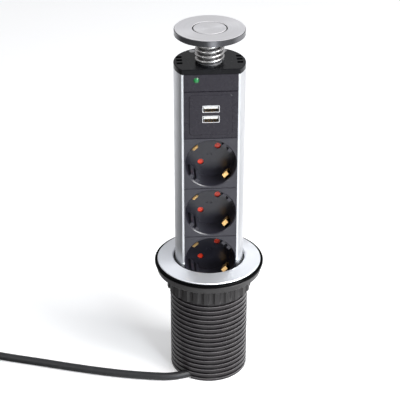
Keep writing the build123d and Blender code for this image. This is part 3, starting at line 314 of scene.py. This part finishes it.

# %% [markdown]
# ## What the cord carries
#
# The cord carries the plug, with its pins and earth strips, and the strap.

# %% [markdown]
# ## Shaders as plain sums
#
# A material can be wired by hand, node by node, but its maths reads best when it is written
# like maths. A `Wire` stands for a node's output, and adding, multiplying or raising wires
# makes the Math nodes. The reflected forms are there so that `1 - wire` works too.


# %% Wrap a node's output
class Wire:
    """A node's output that sums, products and powers can be written with."""

    def __init__(self, sheet, socket):
        self.sheet = sheet
        self.socket = socket

    def output(self, name):
        """Another output of the same node."""
        return Wire(self.sheet, self.socket.node.outputs[name])

    def __add__(self, other):
        return self.sheet.maths("ADD", self, other)

    def __radd__(self, other):
        return self.sheet.maths("ADD", other, self)

    def __sub__(self, other):
        return self.sheet.maths("SUBTRACT", self, other)

    def __rsub__(self, other):
        return self.sheet.maths("SUBTRACT", other, self)

    def __mul__(self, other):
        return self.sheet.maths("MULTIPLY", self, other)

    def __rmul__(self, other):
        return self.sheet.maths("MULTIPLY", other, self)

    def __truediv__(self, other):
        return self.sheet.maths("DIVIDE", self, other)

    def __rtruediv__(self, other):
        return self.sheet.maths("DIVIDE", other, self)

    def __pow__(self, other):
        return self.sheet.maths("POWER", self, other)

    def __rpow__(self, other):
        return self.sheet.maths("POWER", other, self)


print("wires can be added, taken away, multiplied, divided and raised")

# %% [markdown]
# ## A sheet of nodes
#
# Every finish is a small tree of nodes. Each node could have its own lines of code, but all
# need the same three things: settings, values and links. So a `Sheet` holds one material's
# nodes, has one method that makes any node, and gives short names to the sums, noises and
# mixes that the finishes share.


# %% Hold a material's nodes
class Sheet:
    """The nodes of one material or of the world."""

    def __init__(self, tree):
        self.tree = tree
        tree.nodes.clear()

    def node(self, kind, settings, inputs, output=0):
        """Makes a node: its settings first, then a value or a link for each input."""
        made = self.tree.nodes.new(kind)
        for name, value in settings.items():
            setattr(made, name, value)
        for name, value in inputs.items():
            if isinstance(value, Wire):
                self.tree.links.new(value.socket, made.inputs[name])
            else:
                made.inputs[name].default_value = value
        return Wire(self, made.outputs[output]) if len(made.outputs) else None

    def maths(self, operation, *values):
        return self.node("ShaderNodeMath", {"operation": operation}, dict(enumerate(values)))

    def place(self):
        """Where a point of the piece is, in metres in the frame."""
        return self.node("ShaderNodeTexCoord", {}, {}, "Object")

    def parts(self, vector):
        """A vector's three numbers."""
        x = self.node("ShaderNodeSeparateXYZ", {}, {"Vector": vector}, "X")
        return x, x.output("Y"), x.output("Z")

    def joined(self, x, y, z):
        return self.node("ShaderNodeCombineXYZ", {}, {"X": x, "Y": y, "Z": z})

    def noise(self, vector, size, detail=2.0):
        """Soft noise whose lumps are about the given size."""
        inputs = {"Vector": vector, "Scale": 1 / size, "Detail": detail}
        return self.node("ShaderNodeTexNoise", {}, inputs)

    def cells(self, vector, size):
        """The distance to the nearest of scattered points, a given size apart."""
        inputs = {"Vector": vector, "Scale": 1 / size}
        return self.node("ShaderNodeTexVoronoi", {}, inputs, "Distance")

    def rise(self, value, low, high):
        """Goes from 0 to 1 as the value goes from low to high."""
        inputs = {"Value": value, "From Min": low, "From Max": high}
        return self.node("ShaderNodeMapRange", {"interpolation_type": "SMOOTHSTEP"}, inputs)

    def mix(self, share, one, other):
        """A colour between two."""
        one, other = [c if isinstance(c, Wire) else (*c, 1) for c in (one, other)]
        return self.node("ShaderNodeMix", {"data_type": "RGBA"}, {0: share, 6: one, 7: other}, 2)

    def bump(self, height, distance, strength=1.0):
        """A normal tilted by a height from 0 to 1 that stands for a distance."""
        inputs = {"Strength": strength, "Distance": distance, "Height": height}
        return self.node("ShaderNodeBump", {}, inputs)

    def surface(self, **inputs):
        """A surface shader. Underscores in a name stand for spaces."""
        named = {name.replace("_", " "): value for name, value in inputs.items()}
        return self.node("ShaderNodeBsdfPrincipled", {}, named)

    def close(self, surface):
        self.node("ShaderNodeOutputMaterial", {}, {"Surface": surface})

    def finish(self, **inputs):
        self.close(self.surface(**inputs))


print("the sheet is ready")

# %% [markdown]
# ## The barrel's plastic
#
# The barrel is one black moulding: satin along its thread, and jet black and glossy from the
# flange up. Its crests are painted lighter and its roots darker, as painted light and shade,
# and a pale line along one edge of each crest is a painted highlight. Two materials on one
# piece would need its faces to be sorted. One material that asks where a point is needs
# nothing: the distance from the axis finds the crests, and the height finds the flange.

# %% Start a material
def new_material(name):
    """A material and its empty sheet."""
    material = bpy.data.materials.new(name)
    material.use_nodes = True
    return material, Sheet(material.node_tree)


print("a material starts with an empty sheet")

# %% Make the barrel's plastic
DUST = (0.16, 0.155, 0.15)
THREAD_LOW = 2.6 * MM
THREAD_PITCH = 4.4 * MM
CREST_R = (31.0 * MM, 31.65 * MM)
CREST_HIGHLIGHT_TURN = (0.84, 0.97)
FLANGE_Z = (98.6 * MM, 98.75 * MM)


def barrel_plastic():
    """Satin plastic, crests painted light with a painted highlight, and black gloss up from the
    flange.
    """
    material, sheet = new_material("barrel plastic")
    place = sheet.place()
    x, y, z = sheet.parts(place)
    radius = (x * x + y * y) ** 0.5
    grain = sheet.noise(place, 0.3 * MM, 3.0)
    cloud = sheet.noise(place, 9 * MM, 3.0)
    crest = sheet.rise(radius, *CREST_R)
    settled = (1 - crest) * sheet.rise(cloud, 0.42, 0.7)
    turn = sheet.maths("FRACT", (z - THREAD_LOW) / THREAD_PITCH)
    # Painted highlight: a pale line along each crest's upper edge, which is also less rough.
    crest_highlight = sheet.rise(turn, *CREST_HIGHLIGHT_TURN) * crest
    # Painted light and shade: crests lighter and roots darker, mixed with random clouds.
    colour = sheet.mix(crest * 0.7 + cloud * 0.3, (0.003, 0.002, 0.003), (0.019, 0.016, 0.017))
    wear_and_highlight = sheet.mix(crest_highlight * (0.4 + cloud * 0.6), colour, (0.24, 0.225, 0.23))
    satin = sheet.surface(
        Base_Color=sheet.mix(settled * 0.1, wear_and_highlight, DUST),
        Roughness=0.26 + grain * 0.08 - crest_highlight * 0.1,
        Specular_IOR_Level=0.34,
        Normal=sheet.bump(grain, 0.03 * MM, 0.25),
    )
    polished = sheet.surface(
        Base_Color=sheet.mix(cloud, (0.001, 0.001, 0.0012), (0.002, 0.002, 0.0024)),
        Roughness=0.1 + cloud * 0.1,
        Specular_IOR_Level=0.02,
        Normal=sheet.bump(cloud, 0.03 * MM, 0.3),
    )
    flange = sheet.rise(z, *FLANGE_Z)
    sheet.close(sheet.node("ShaderNodeMixShader", {}, {0: flange, 1: satin, 2: polished}))
    return material


plastics = {"barrel": barrel_plastic()}
print("made", plastics["barrel"].name)

# %% [markdown]
# ## Matte mouldings
#
# The washer, nut, housings and plug are moulded with a fine grain that breaks up the light,
# and are paler where hands have rubbed them. A picture of plastic could be wrapped round
# them, but noise in the frame's own metres has no seams and the same grain on every piece.
# The red shutters and the white tongues are the same kind of moulding in other colours.


# %% Make the matte mouldings
def moulded(name, colour, paler, grain_size=0.3 * MM, rough=0.48, shine=0.5):
    """A matte moulding with grain, flow clouds and a little dust."""
    material, sheet = new_material(name)
    place = sheet.place()
    grain = sheet.noise(place, grain_size, 3.0)
    cloud = sheet.noise(place, 11 * MM, 3.0)
    rub = sheet.rise(sheet.noise(place, 2.5 * MM, 4.0), 0.55, 0.75)
    sheet.finish(
        Base_Color=sheet.mix(cloud * 0.7 + rub * 0.3, colour, paler),
        Roughness=rough + grain * 0.16 - rub * 0.08,
        Specular_IOR_Level=shine,
        Normal=sheet.bump(grain, 0.03 * MM, 0.5),
    )
    return material


plastics |= {
    "washer": moulded(
        "washer plastic", (0.011, 0.010, 0.010), (0.023, 0.020, 0.021), rough=0.3, shine=0.4
    ),
    "housing": moulded(
        "housing plastic", (0.012, 0.012, 0.014), (0.024, 0.024, 0.026), rough=0.36
    ),
    "carrier": moulded("carrier plastic", (0.19, 0.19, 0.20), (0.30, 0.30, 0.31), rough=0.5),
    "plug": moulded(
        "plug plastic", (0.016, 0.016, 0.017), (0.034, 0.034, 0.036), 0.5 * MM, 0.42
    ),
    "white": moulded("tongue plastic", (0.60, 0.60, 0.58), (0.72, 0.72, 0.70), rough=0.4),
    "parts": moulded("component plastic", (0.05, 0.035, 0.012), (0.16, 0.12, 0.03), rough=0.4),
    "shutter": moulded("shutter plastic", (0.96, 0.045, 0.018), (1.0, 0.09, 0.035), rough=0.24),
}
print("plastics so far", sorted(plastics))

# %% [markdown]
# ## Gloss mouldings
#
# The panels, sockets and head plate are polished black plastic. Perfect gloss would look like
# glass, so faint smudges dull it, a few specks of dust lie on it, and its face waves by about
# a tenth of a millimetre, as a moulding does when it cools. The wave could be modelled, but
# a bump is enough for a wave that only the reflections show.


# %% Make the gloss mouldings
def gloss(name, colour, paler, rough=0.12, shine=0.5):
    """A polished moulding with smudges, a wavy face and specks of dust."""
    material, sheet = new_material(name)
    place = sheet.place()
    wave = sheet.noise(place, 9 * MM, 1.0)
    smudge = sheet.rise(sheet.noise(place, 6 * MM, 5.0), 0.45, 0.8)
    speck = sheet.rise(sheet.cells(place, 2.2 * MM), 0.06, 0.03)
    base = sheet.mix(smudge * 0.6, colour, paler)
    sheet.finish(
        Base_Color=sheet.mix(speck * 0.25, base, DUST),
        Roughness=rough + smudge * 0.12 + speck * 0.2,
        Specular_IOR_Level=shine,
        Normal=sheet.bump(wave, 0.12 * MM, 0.25),
    )
    return material


plastics |= {
    "panel": gloss("panel plastic", (0.014, 0.012, 0.018), (0.023, 0.021, 0.028), 0.26, 0.28),
    "socket": gloss("socket plastic", (0.021, 0.020, 0.028), (0.034, 0.033, 0.043), 0.28, 0.5),
    "head": gloss(
        "head plate plastic", (0.004, 0.004, 0.005), (0.009, 0.009, 0.011), 0.2, 0.12
    ),
}
print("plastics", sorted(plastics))

# %% [markdown]
# ## Spun steel
#
# The cap, button, stem and trim ring are turned, which leaves fine lines round the axis. The
# lines are far thinner than a mesh could hold, so noise that is stretched round the axis
# colours them and tilts the light a little. The groove round the button is painted near black
# as painted shade, and the cap's edge is painted darker than its top as painted shade, and is
# smoother and fully metallic: both are found by their distance from the axis.


# %% Make the spun steel
CAP_GROOVE_SHADE = (12.3 * MM, 13.55 * MM, 300.0 * MM)
CAP_SHADED_SIDE_R = 26.6 * MM


def spun_metal(name, colour, paler, rough, metal=1.0, groove_shade=None, shaded_side_r=None):
    """Metal with fine lines round the Z axis. A groove shade is (low radius, high radius, top).

    A shaded side is the radius from which the metal is painted darker as painted shade, and is
    smoother and fully metallic.
    """
    material, sheet = new_material(name)
    place = sheet.place()
    x, y, z = sheet.parts(place)
    radius = (x * x + y * y) ** 0.5 + 0.1 * MM
    outward = radius + z
    fine = sheet.noise(sheet.joined(outward / (0.16 * MM), x / radius * 2, y / radius * 2), 1.0)
    broad = sheet.noise(sheet.joined(outward / (1.2 * MM), x / radius, y / radius), 1.0, 3.0)
    touch = sheet.rise(sheet.noise(place, 8 * MM, 4.0), 0.5, 0.75)
    tone = sheet.mix(broad * 0.6 + fine * 0.4, colour, paler)
    # Painted shade: the groove round the button is coloured near black.
    if groove_shade:
        low, high, top = groove_shade
        inside = sheet.rise(radius, low, low + 0.1 * MM) * sheet.rise(radius, high, high - 0.1 * MM)
        tone = sheet.mix(inside * sheet.rise(z, top, top - 0.2 * MM), tone, (0.012, 0.012, 0.013))
    # Painted shade: the side is coloured darker. It is also smoother and fully metallic.
    if shaded_side_r:
        turned = sheet.rise(radius, shaded_side_r, shaded_side_r + 0.1 * MM)
        tone = sheet.mix(turned, tone, (0.18, 0.18, 0.19))
        metal = turned * (1 - metal) + metal
        rough = rough - turned * 0.14
    sheet.finish(
        Base_Color=tone,
        Metallic=metal,
        Roughness=rough + fine * 0.12 + touch * 0.06,
        Anisotropic=0.7,
        Normal=sheet.bump(fine, 0.012 * MM, 0.3),
    )
    return material


metals = {
    "ring": spun_metal("ring steel", (0.90, 0.92, 0.96), (0.97, 0.985, 1.0), 0.28, 0.72),
    "cap": spun_metal(
        "cap steel", (0.72, 0.71, 0.72), (0.90, 0.89, 0.90), 0.26, 0.75, CAP_GROOVE_SHADE, CAP_SHADED_SIDE_R
    ),
    "stem": spun_metal("stem steel", (0.34, 0.34, 0.35), (0.52, 0.51, 0.51), 0.3),
}
print("metals so far", sorted(metals))

# %% [markdown]
# ## Drawn aluminium
#
# The tower's profile is pressed through a die, so its lines run along its length. It could
# share the spun steel's function, but that one needs an axis to turn about. This one only
# stretches the noise along Z, and dulls the metal where it has been touched.


# %% Make the drawn aluminium
def drawn_metal(name, colour, paler, rough):
    """Metal with fine lines along Z."""
    material, sheet = new_material(name)
    place = sheet.place()
    x, y, z = sheet.parts(place)
    fine = sheet.noise(sheet.joined(x / (0.2 * MM), y / (0.2 * MM), z / (40 * MM)), 1.0, 3.0)
    broad = sheet.noise(sheet.joined(x / (2 * MM), y / (2 * MM), z / (90 * MM)), 1.0)
    touch = sheet.rise(sheet.noise(place, 10 * MM, 4.0), 0.5, 0.75)
    sheet.finish(
        Base_Color=sheet.mix(broad * 0.6 + fine * 0.4, colour, paler),
        Metallic=1.0,
        Roughness=rough + fine * 0.1 + touch * 0.06,
        Normal=sheet.bump(fine, 0.012 * MM, 0.6),
    )
    return material


metals |= {
    "profile": drawn_metal("profile aluminium", (0.60, 0.61, 0.63), (0.76, 0.77, 0.79), 0.3),
}
print("made", metals["profile"].name)

# %% [markdown]
# ## Wire, plating and brass
#
# The springs, port shells, screws and pins are smooth metal, and the contacts are rolled
# brass. Each could have a material of its own, but they differ only in colour and in how
# worn they are, so one function makes them all: bright metal that is dull in patches.


# %% Make the smooth metals
def bright_metal(name, colour, paler, rough, wear_and_highlight, metal=1.0):
    """Smooth metal, dulled in patches."""
    material, sheet = new_material(name)
    place = sheet.place()
    fine = sheet.noise(place, 0.25 * MM, 3.0)
    dull = sheet.rise(sheet.noise(place, 3 * MM, 4.0), 0.4, 0.75)
    sheet.finish(
        Base_Color=sheet.mix(dull * wear_and_highlight + fine * 0.2, paler, colour),
        Metallic=metal,
        Roughness=rough + dull * wear_and_highlight * 0.3 + fine * 0.06,
        Normal=sheet.bump(fine, 0.01 * MM, 0.4),
    )
    return material


metals |= {
    "spring": bright_metal("spring wire", (0.36, 0.35, 0.35), (0.60, 0.59, 0.58), 0.2, 0.4),
    "shell": bright_metal("port shell", (0.50, 0.50, 0.51), (0.72, 0.72, 0.73), 0.2, 0.5),
    "screw": bright_metal(
        "zinc plated screw", (0.36, 0.36, 0.37), (0.58, 0.58, 0.58), 0.28, 0.6
    ),
    "nickel": bright_metal("nickel", (0.52, 0.49, 0.44), (0.76, 0.73, 0.67), 0.16, 0.4),
    "brass": bright_metal("brass", (0.80, 0.42, 0.12), (1.0, 0.66, 0.28), 0.36, 0.5, 0.7),
}
print("metals", sorted(metals))

# %% [markdown]
# ## The green lens
#
# The lamp's lens is a small dome of green plastic, painted darker towards its rim as painted
# shade. It could be clear with a light behind it, but at this size a glossy surface looks the
# same. Its colour and painted shade come from the distance to the lens's middle.


# %% Make the lens
LENS_X = -11.1 * MM
LENS_Z = 265.2 * MM
LENS_R = 2.25 * MM


def lens_plastic():
    material, sheet = new_material("green lens")
    place = sheet.place()
    x, y, z = sheet.parts(place)
    off = ((x - LENS_X) ** 2 + (z - LENS_Z) ** 2) ** 0.5
    # Painted shade: the colour darkens towards the lens's rim.
    rim_shade = sheet.rise(off, LENS_R * 0.55, LENS_R)
    cloud = sheet.noise(place, 0.8 * MM, 3.0)
    sheet.finish(
        Base_Color=sheet.mix(rim_shade * 0.8 + cloud * 0.2, (0.014, 0.20, 0.05), (0.004, 0.05, 0.015)),
        Roughness=0.1 + cloud * 0.08,
        Normal=sheet.bump(cloud, 0.02 * MM, 0.4),
    )
    return material


others = {"lens": lens_plastic()}
print("made", others["lens"].name)

# %% [markdown]
# ## Sheaths, seals and the strap
#
# The cord, the wires and the seals are soft plastic, scuffed and slightly chalky. The strap
# is woven. Its threads could be modelled, but they would need thousands of faces, so two
# crossed waves stand for them in its colour and in its bump.


# %% Make the soft finishes
def rubber(name, colour, paler, rough=0.5):
    """Soft black sheath or seal, scuffed and slightly chalky."""
    material, sheet = new_material(name)
    place = sheet.place()
    grain = sheet.noise(place, 0.4 * MM, 4.0)
    scuff = sheet.rise(sheet.noise(place, 4 * MM, 5.0), 0.5, 0.8)
    sheet.finish(
        Base_Color=sheet.mix(scuff * 0.7 + grain * 0.3, colour, paler),
        Roughness=rough + scuff * 0.14 + grain * 0.06,
        Normal=sheet.bump(grain, 0.05 * MM, 0.5),
    )
    return material


def woven(name, colour, paler):
    """Woven strap: threads across and along."""
    material, sheet = new_material(name)
    place = sheet.place()
    x, y, z = sheet.parts(place)
    along = sheet.maths("SINE", (x + z) / (0.18 * MM))
    across = sheet.maths("SINE", y / (0.18 * MM))
    weave = along * across * 0.5 + 0.5
    fluff = sheet.noise(place, 0.5 * MM, 4.0)
    sheet.finish(
        Base_Color=sheet.mix(weave * 0.6 + fluff * 0.4, colour, paler),
        Roughness=0.7 + fluff * 0.2,
        Normal=sheet.bump(weave * 0.7 + fluff * 0.3, 0.15 * MM, 0.7),
    )
    return material


others |= {
    "seal": rubber("seal rubber", (0.010, 0.010, 0.010), (0.03, 0.03, 0.03), 0.62),
    "cord": rubber("cord sheath", (0.009, 0.009, 0.010), (0.024, 0.024, 0.026), 0.42),
    "strap": woven("strap weave", (0.008, 0.008, 0.009), (0.05, 0.05, 0.052)),
    "brown": rubber("brown wire", (0.12, 0.05, 0.02), (0.20, 0.09, 0.04), 0.36),
    "blue": rubber("blue wire", (0.02, 0.08, 0.32), (0.05, 0.14, 0.45), 0.36),
}
print("soft finishes so far", sorted(others))

# %% [markdown]
# ## The earth wire and the board
#
# Both are inside the tower. The earth wire is striped green and yellow, by one wave that
# runs along the wire and round it. The board is lacquered green over copper tracks. Real
# tracks would have to follow the parts on the board, so a plain grid of waves stands for
# them.


# %% Make the striped wire and the board
def striped_wire():
    material, sheet = new_material("striped wire")
    place = sheet.place()
    x, y, z = sheet.parts(place)
    stripe = sheet.rise(sheet.maths("SINE", z / (1.1 * MM) + x / (0.9 * MM)), -0.1, 0.1)
    grain = sheet.noise(place, 0.5 * MM, 3.0)
    sheet.finish(
        Base_Color=sheet.mix(stripe, (0.05, 0.26, 0.05), (0.66, 0.56, 0.05)),
        Roughness=0.4 + grain * 0.15,
        Normal=sheet.bump(grain, 0.03 * MM, 0.4),
    )
    return material


def circuit_board():
    material, sheet = new_material("circuit board")
    place = sheet.place()
    x, y, z = sheet.parts(place)
    columns = sheet.maths("SINE", x / (0.45 * MM))
    rows = sheet.maths("SINE", z / (1.3 * MM))
    tracks = sheet.rise(columns * rows, 0.2, 0.35)
    mottle = sheet.noise(place, 1.5 * MM, 3.0)
    sheet.finish(
        Base_Color=sheet.mix(tracks * 0.6 + mottle * 0.2, (0.02, 0.13, 0.05), (0.10, 0.32, 0.10)),
        Roughness=0.28 + mottle * 0.15,
        Normal=sheet.bump(tracks, 0.04 * MM, 0.5),
    )
    return material


others |= {"striped": striped_wire(), "board": circuit_board()}
print("others", sorted(others))

# %% [markdown]
# ## Dressing every piece
#
# Each piece of the frame gets its material by name. They could be dressed one by one, but a
# table shows at a glance which pieces share a finish. What repeats for the three sockets is
# added in a loop, and the cell stops if a piece would be left bare.

# %% Give each piece its material
everything = {**plastics, **metals, **others}
dress = {
    "barrel": ["threaded_barrel"],
    "washer": ["clamp_washer", "clamp_nut"],
    "housing": ["guide_ring", "bottom_cap", "blank_panel"],
    "carrier": ["stem_bushing", "rail_carrier"],
    "plug": ["plug_body"],
    "panel": ["led_panel", "usb_frame", "usb_insert"],
    "head": ["head_plate"],
    "white": ["usb_tongues"],
    "parts": ["charger_parts"],
    "ring": ["trim_ring"],
    "cap": ["cap_disc", "button_disc"],
    "profile": ["tower_profile"],
    "stem": ["cap_stem", "button_rod"],
    "spring": ["pop_spring", "button_spring"],
    "shell": ["usb_shells"],
    "screw": ["head_screws", "bottom_screws", "stem_clip"],
    "nickel": ["plug_pins", "plug_strips"],
    "brass": ["usb_contacts", "live_rail", "neutral_rail", "earth_rail"],
    "lens": ["led_lens"],
    "seal": ["flange_seal", "wiper_ring", "cable_gland"],
    "cord": ["inner_lead", "cord_run", "cord_coil", "cord_tail"],
    "strap": ["coil_tie"],
    "brown": ["wire_live"],
    "blue": ["wire_neutral"],
    "striped": ["wire_earth"],
    "board": ["charger_board"],
    "socket": [],
    "shutter": [],
}
for number in (1, 2, 3):
    dress["socket"].append(f"socket_body_{number}")
    dress["shutter"].append(f"shutter_{number}")
    dress["carrier"].append(f"contact_plate_{number}")
    dress["brass"].append(f"earth_bracket_{number}")


def wear(piece, material):
    """Puts one material on all of a piece."""
    if not piece.material_slots:
        piece.data.materials.append(material)
    for place in piece.material_slots:
        place.material = material


dressed = set()
for key, names in dress.items():
    for name in names:
        wear(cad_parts[name], everything[key])
        dressed.add(name)
wear(cord, others["cord"])
wear(lead, others["cord"])
wear(strap, others["strap"])
wear(pop_coil, metals["spring"])
wear(button_coil, metals["spring"])
bare = sorted(set(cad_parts) - dressed)
if bare:
    raise ValueError(f"these pieces have no material: {bare}")
print("dressed", len(dressed), "pieces of the frame")

# %% [markdown]
# ## The floor
#
# The object stands on a white table that fills the picture and keeps its soft shadow. A
# stronger lamp could lift the table to white, but it would bleach the object too. So a small
# glow lifts the table, seen only by the camera and in reflections. In reflections the table
# is bright behind and to the right, with a bright strip in front, and dim elsewhere, so that
# the metal shows light and dark sides.

# %% Lay the floor
FLOOR_HALF = 6.0
FLOOR_WHITE = (0.88, 0.88, 0.88)
FLOOR_DIM = (0.22, 0.22, 0.22)
FLOOR_GLOW = 0.34
BRIGHT_RIGHT = 0.3
BRIGHT_BACK = 0.95
BRIGHT_FROM_TO = (-0.05, 0.45)
BRIGHT_LEVEL = 0.9
STRIP_X = 0.08
STRIP_FROM_TO = (0.26, 0.05)

floor_mesh = bpy.data.meshes.new("floor")
floor_corners = [(-FLOOR_HALF, -FLOOR_HALF, 0), (FLOOR_HALF, -FLOOR_HALF, 0)]
floor_corners += [(FLOOR_HALF, FLOOR_HALF, 0), (-FLOOR_HALF, FLOOR_HALF, 0)]
floor_mesh.from_pydata(floor_corners, [], [(0, 1, 2, 3)])
floor = bpy.data.objects.new("floor", floor_mesh)
bpy.context.scene.collection.objects.link(floor)
floor_material, floor_sheet = new_material("white table")
floor_x, floor_y, floor_z = floor_sheet.parts(floor_sheet.place())
slanted = floor_x * BRIGHT_RIGHT + floor_y * BRIGHT_BACK
behind = floor_sheet.rise(slanted, *BRIGHT_FROM_TO)
aside = floor_sheet.maths("ABSOLUTE", floor_x - STRIP_X)
ahead = floor_sheet.rise(aside, *STRIP_FROM_TO)
bright_side = floor_sheet.maths("MAXIMUM", behind * BRIGHT_LEVEL, ahead)
rays = floor_sheet.node("ShaderNodeLightPath", {}, {}, "Is Camera Ray")
mirrored = rays.output("Is Glossy Ray")
table_tone = floor_sheet.mix(mirrored * (1 - bright_side), FLOOR_WHITE, FLOOR_DIM)
matt = floor_sheet.node("ShaderNodeBsdfDiffuse", {}, {"Color": table_tone})
shine = (rays + mirrored * bright_side) * FLOOR_GLOW
glow = floor_sheet.node("ShaderNodeEmission", {}, {"Color": (1, 1, 1, 1), "Strength": shine})
both = floor_sheet.node("ShaderNodeAddShader", {}, {0: matt, 1: glow})
floor_sheet.node("ShaderNodeOutputMaterial", {}, {"Surface": both})
floor_mesh.materials.append(floor_material)
print("the floor is", 2 * FLOOR_HALF, "m wide")

# %% [markdown]
# ## The surroundings
#
# Around the object is a soft white room, seen in reflections and as gentle light. A picture
# of a room could be used, but plain tones that rise with the height and to the right are
# steady and easy to change. High at the back they are darker and bluer, which is where the
# front of the trim ring looks. To the camera the room is plain white.

# %% Light the surroundings
AROUND_LOW = (0.36, 0.36, 0.37)
AROUND_HIGH = (1.05, 1.06, 1.09)
AROUND_OVERHEAD = (0.30, 0.35, 0.48)
HIGHER_Z = (0.1, 0.8)
RIGHTER_X = (-0.8, 0.8)
HIGHER_SHARE = 0.7
OVERHEAD_Z = (0.55, 0.85)
OVERHEAD_Y = (0.1, 0.5)
OVERHEAD_SHARE = 0.5
AROUND_LIT = 0.46
AROUND_MIRRORED = 0.44

world = bpy.data.worlds.new("surroundings")
bpy.context.scene.world = world
world.use_nodes = True
sky = Sheet(world.node_tree)
way_x, way_y, way_z = sky.parts(sky.node("ShaderNodeTexCoord", {}, {}, "Generated"))
higher = sky.rise(way_z, *HIGHER_Z)
righter = sky.rise(way_x, *RIGHTER_X)
share = higher * HIGHER_SHARE + righter * (1 - HIGHER_SHARE)
overhead = sky.rise(way_z, *OVERHEAD_Z) * sky.rise(way_y, *OVERHEAD_Y)
tone = sky.mix(share, AROUND_LOW, AROUND_HIGH)
tone = sky.mix(overhead * OVERHEAD_SHARE, tone, AROUND_OVERHEAD)
looking = sky.node("ShaderNodeLightPath", {}, {}, "Is Camera Ray")
level = looking.output("Is Glossy Ray") * AROUND_MIRRORED + AROUND_LIT
lit = sky.node("ShaderNodeBackground", {}, {"Color": tone, "Strength": level})
white = sky.node("ShaderNodeBackground", {}, {"Color": (1, 1, 1, 1), "Strength": 1.0})
picked = sky.node("ShaderNodeMixShader", {}, {0: looking, 1: lit, 2: white})
sky.node("ShaderNodeOutputWorld", {}, {"Surface": picked})
print("the surroundings are a soft white, darker high at the back")

# %% [markdown]
# ## The lamps
#
# One lamp would leave the sockets black, and many would cast as many shadows. A large lamp
# stands to the right and in front, so the shadow falls to the left. A high one beside it
# draws thin lights along the thread, a low one in front shines into the sockets, and a weak
# one on the left keeps the shaded side readable.


# %% Hang the lamps
def lamp(name, place, target, width, power, colour=(1, 1, 1)):
    """A square lamp that faces a target."""
    data = bpy.data.lights.new(name, "AREA")
    data.shape = "SQUARE"
    data.size = width
    data.energy = power
    data.color = colour
    made = bpy.data.objects.new(name, data)
    bpy.context.scene.collection.objects.link(made)
    made.location = place
    made.rotation_mode = "QUATERNION"
    made.rotation_quaternion = (Vector(target) - Vector(place)).to_track_quat("-Z", "Y")
    return made


LOW_ON_THE_TOWER = (0, 0, 0.12)
AT_THE_SOCKETS = (0, 0, 0.18)
COOL = (0.84, 0.92, 1.0)

lamp("key", (1.0, -0.55, 1.0), LOW_ON_THE_TOWER, width=0.6, power=19.0)
lamp("high", (0.6, -0.8, 1.15), LOW_ON_THE_TOWER, width=0.5, power=7.0)
lamp("front", (0.62, -1.2, 0.42), AT_THE_SOCKETS, width=0.3, power=8.0, colour=COOL)
lamp("left", (-1.2, -0.8, 0.9), LOW_ON_THE_TOWER, width=0.5, power=2.7)
bpy.context.scene.view_settings.view_transform = "Standard"
print("four lamps hang")

# %% [markdown]
# ## The end
#
# The cord is counted by its spline's points. The cord's spline points lie just outside
# the coil's bends, so a box round them reaches 0.8 mm further towards -Y than the sheath
# itself.

# %% Update the view layer
bpy.context.view_layer.update()
